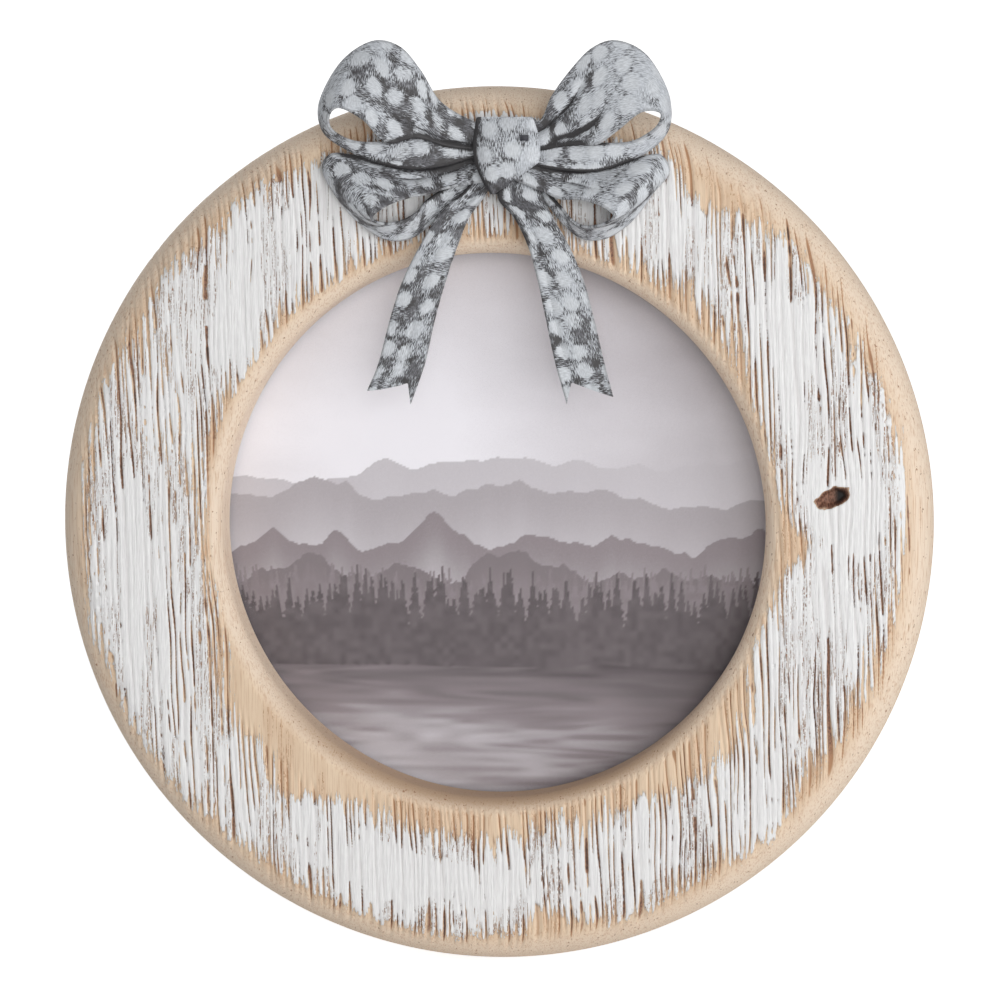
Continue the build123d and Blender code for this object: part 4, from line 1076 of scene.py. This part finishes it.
def arc_across(z, *places):
    """Place across, at each height, of the arc through three places that bulges to the middle one's side."""
    first, middle, last = np.array(places)
    chords = np.array((middle - first, last - first))
    centre = first + np.linalg.solve(2 * chords, (chords**2).sum(axis=1))
    radius = np.linalg.norm(first - centre)
    half = np.sqrt(np.maximum(radius**2 - (z - centre[1]) ** 2, 0))
    return centre[0] + half if middle[0] > centre[0] else centre[0] - half


def knot_sides(z):
    """Left and right side of the knot at each height."""
    top_left = (-KNOT_HALF_WIDTH * 0.88, KNOT_TOP)
    top_right = (KNOT_HALF_WIDTH * 0.72, KNOT_TOP)
    right_side = (KNOT_HALF_WIDTH, KNOT_TOP * 0.3)
    right_foot = (KNOT_HALF_WIDTH * 0.97, -KNOT_BOTTOM * 0.24)
    tip_right = (-KNOT_HALF_WIDTH * 0.36, -KNOT_BOTTOM * KNOT_FOOT)
    tip_left = (-KNOT_HALF_WIDTH * 0.6, -KNOT_BOTTOM * 0.84)
    left_side = (-KNOT_HALF_WIDTH, -KNOT_BOTTOM * 0.08)
    foot_slope = (right_foot[0] - tip_right[0]) / (right_foot[1] - tip_right[1])
    left = arc_across(z, tip_left, left_side, top_left)
    lower_right = tip_right[0] + (z - tip_right[1]) * foot_slope
    right = np.where(z < right_foot[1], lower_right, arc_across(z, right_foot, right_side, top_right))
    return left, right


def make_knot(material, number):
    """Domed band over the roots of the loops, curled in at its sides and pressed into soft folds."""
    stations = knot_profile()
    z = stations[:, :1]
    left, right = knot_sides(z)
    share = np.linspace(0, 1, KNOT_COLUMNS)[None, :]
    x = left * (1 - share) + right * share
    height = stations[:, 1:] + 0 * x
    front = (np.arange(len(stations)) < KNOT_FRONT_ROWS)[:, None]
    curl = KNOT_CURL * np.abs(2 * share - 1) ** 3
    folds = KNOT_FOLD * (layered_noise(x / 2.2, z / 14, 130) - 0.3)
    height = height - front * (curl + folds) * smooth(KNOT_TOP, KNOT_TOP * 0.6, z)
    sheet = np.stack([BOW_X + x, RING_FRONT - height, BOW_Z + z + 0 * x], axis=-1)
    normal = front_normals(sheet, KNOT_FRONT_ROWS // 2)
    sheet = sheet - normal * SHEET / 2
    steps = np.linalg.norm(np.diff(stations, axis=0, prepend=stations[:1]), axis=1)
    distance = np.cumsum(steps)[:, None] + 0 * x
    # Painted shade in a line along the knot's left edge, where it meets the strands.
    shade = np.exp(-(((x - left) / KNOT_SHADE_WIDTH) ** 2)) * front
    washed = 0.35 + 0.6 * smooth(-1.0, 4.0, x) - 1.8 * smooth(-4.5, -9.5, z)
    looks = {"painted_shade": shade, "wash": washed, "border": x - left}
    add_sheet("knot", sheet, normal, distance, x, looks, material, number)


def make_bow(material):
    for number, name in enumerate(RIBBONS, start=1):
        make_ribbon(name, material, number)
    make_knot(material, len(RIBBONS) + 1)


# Finishes of the CAD pieces that stay
def finish_cad_pieces():
    zinc = make_steel("zinc_steel", (204, 205, 206), (178, 180, 183), 0.26)
    dark = make_steel("dark_steel", (70, 70, 74), (46, 46, 50), 0.4)
    fibreboard = make_board("fibreboard", (150, 112, 76), (116, 82, 54), (84, 58, 38))
    card = make_board("grey_card", (182, 176, 166), (160, 154, 144), (120, 114, 106))
    finishes = {
        "glazing": make_glass(),
        "backing_card": card,
        "back_panel": fibreboard,
        "easel_leg": fibreboard,
        "bow_brad": dark,
    }
    for name, node in frame["nodes"].items():
        node.data.materials.clear()
        node.data.materials.append(finishes.get(name, zinc))


# Camera, light and floor
def make_camera():
    """Camera aimed so that the ring shows where the photograph has it."""
    turn = math.radians(CAMERA_RIGHT)
    rise = math.radians(CAMERA_ABOVE)
    side = RIGHT * math.cos(turn) + BACK * math.sin(turn)
    toward = (RIGHT * math.sin(turn) - BACK * math.cos(turn)) * math.cos(rise) + UP * math.sin(rise)
    above = np.cross(toward, side)
    camera = add_object("camera", bpy.data.cameras.new("camera"))
    camera.rotation_mode = "QUATERNION"
    camera.rotation_quaternion = Matrix((side, above, toward)).transposed().to_quaternion()
    shift_right = (PHOTO_PIXELS / 2 - RING_PIXEL[0]) * PHOTO_SCALE
    shift_up = (RING_PIXEL[1] - PHOTO_PIXELS / 2) * PHOTO_SCALE
    aim = RING_MIDDLE + (side * shift_right + above * shift_up) * MM
    camera.location = aim + toward * CAMERA_DISTANCE * MM
    camera.data.sensor_width = SENSOR
    camera.data.lens = SENSOR * CAMERA_DISTANCE / (PHOTO_SCALE * PHOTO_PIXELS)
    bpy.context.scene.camera = camera


def make_lamp(name, right, out, up, distance, size, watts):
    """Soft square lamp aimed at the ring's middle, placed by a direction from it."""
    direction = unit(RIGHT * right - BACK * out + np.array((0, 0, up)))
    lamp = add_object(name, bpy.data.lights.new(name, "AREA"))
    lamp.location = RING_MIDDLE + direction * distance
    lamp.rotation_mode = "QUATERNION"
    lamp.rotation_quaternion = Vector(-direction).to_track_quat("-Z", "Y")
    lamp.data.size = size
    lamp.data.energy = watts


def seen_rays(graph):
    """1 for rays that show the background: camera, mirrored and passed ones."""
    kinds = ("Is Camera Ray", "Is Glossy Ray", "Is Transmission Ray")
    camera, mirrored, passed = (graph.node("ShaderNodeLightPath", {}, kind) for kind in kinds)
    return camera.over(mirrored).over(passed)


def make_world():
    """White to look at, and a soft light on the object."""
    graph = Graph(bpy.data.worlds.new("studio"), "Background")
    strength = seen_rays(graph).step(0.0, 1.0, WORLD_LIGHT, 1.0)
    bpy.context.scene.world = graph.finish(Color=(1, 1, 1, 1), Strength=strength)


def make_floor():
    """White floor that shows white to the camera and keeps the object's shadow."""
    bpy.ops.mesh.primitive_plane_add(size=2 * FLOOR_REACH)
    floor = bpy.context.object
    floor.name = "floor"
    graph = Graph(bpy.data.materials.new("white_floor"), "Material Output")
    graph.tree.nodes.remove(graph.tree.nodes["Principled BSDF"])
    pale = (FLOOR_PALENESS, FLOOR_PALENESS, FLOOR_PALENESS, 1)
    diffuse = graph.node("ShaderNodeBsdfDiffuse", {"Color": pale}, 0)
    strength = seen_rays(graph) * (1 - FLOOR_PALENESS * WORLD_LIGHT)
    glow = graph.node("ShaderNodeEmission", {"Strength": strength}, 0)
    shown = graph.node("ShaderNodeAddShader", {0: diffuse, 1: glow}, 0)
    floor.data.materials.append(graph.finish(Surface=shown))


bpy.context.scene.view_settings.view_transform = "Standard"
make_ring(make_wood())
make_picture(make_print())
make_bow(make_bow_paint())
finish_cad_pieces()
make_camera()
make_world()
make_floor()
for lamp_name, lamp_values in LAMPS.items():
    make_lamp(lamp_name, *lamp_values)
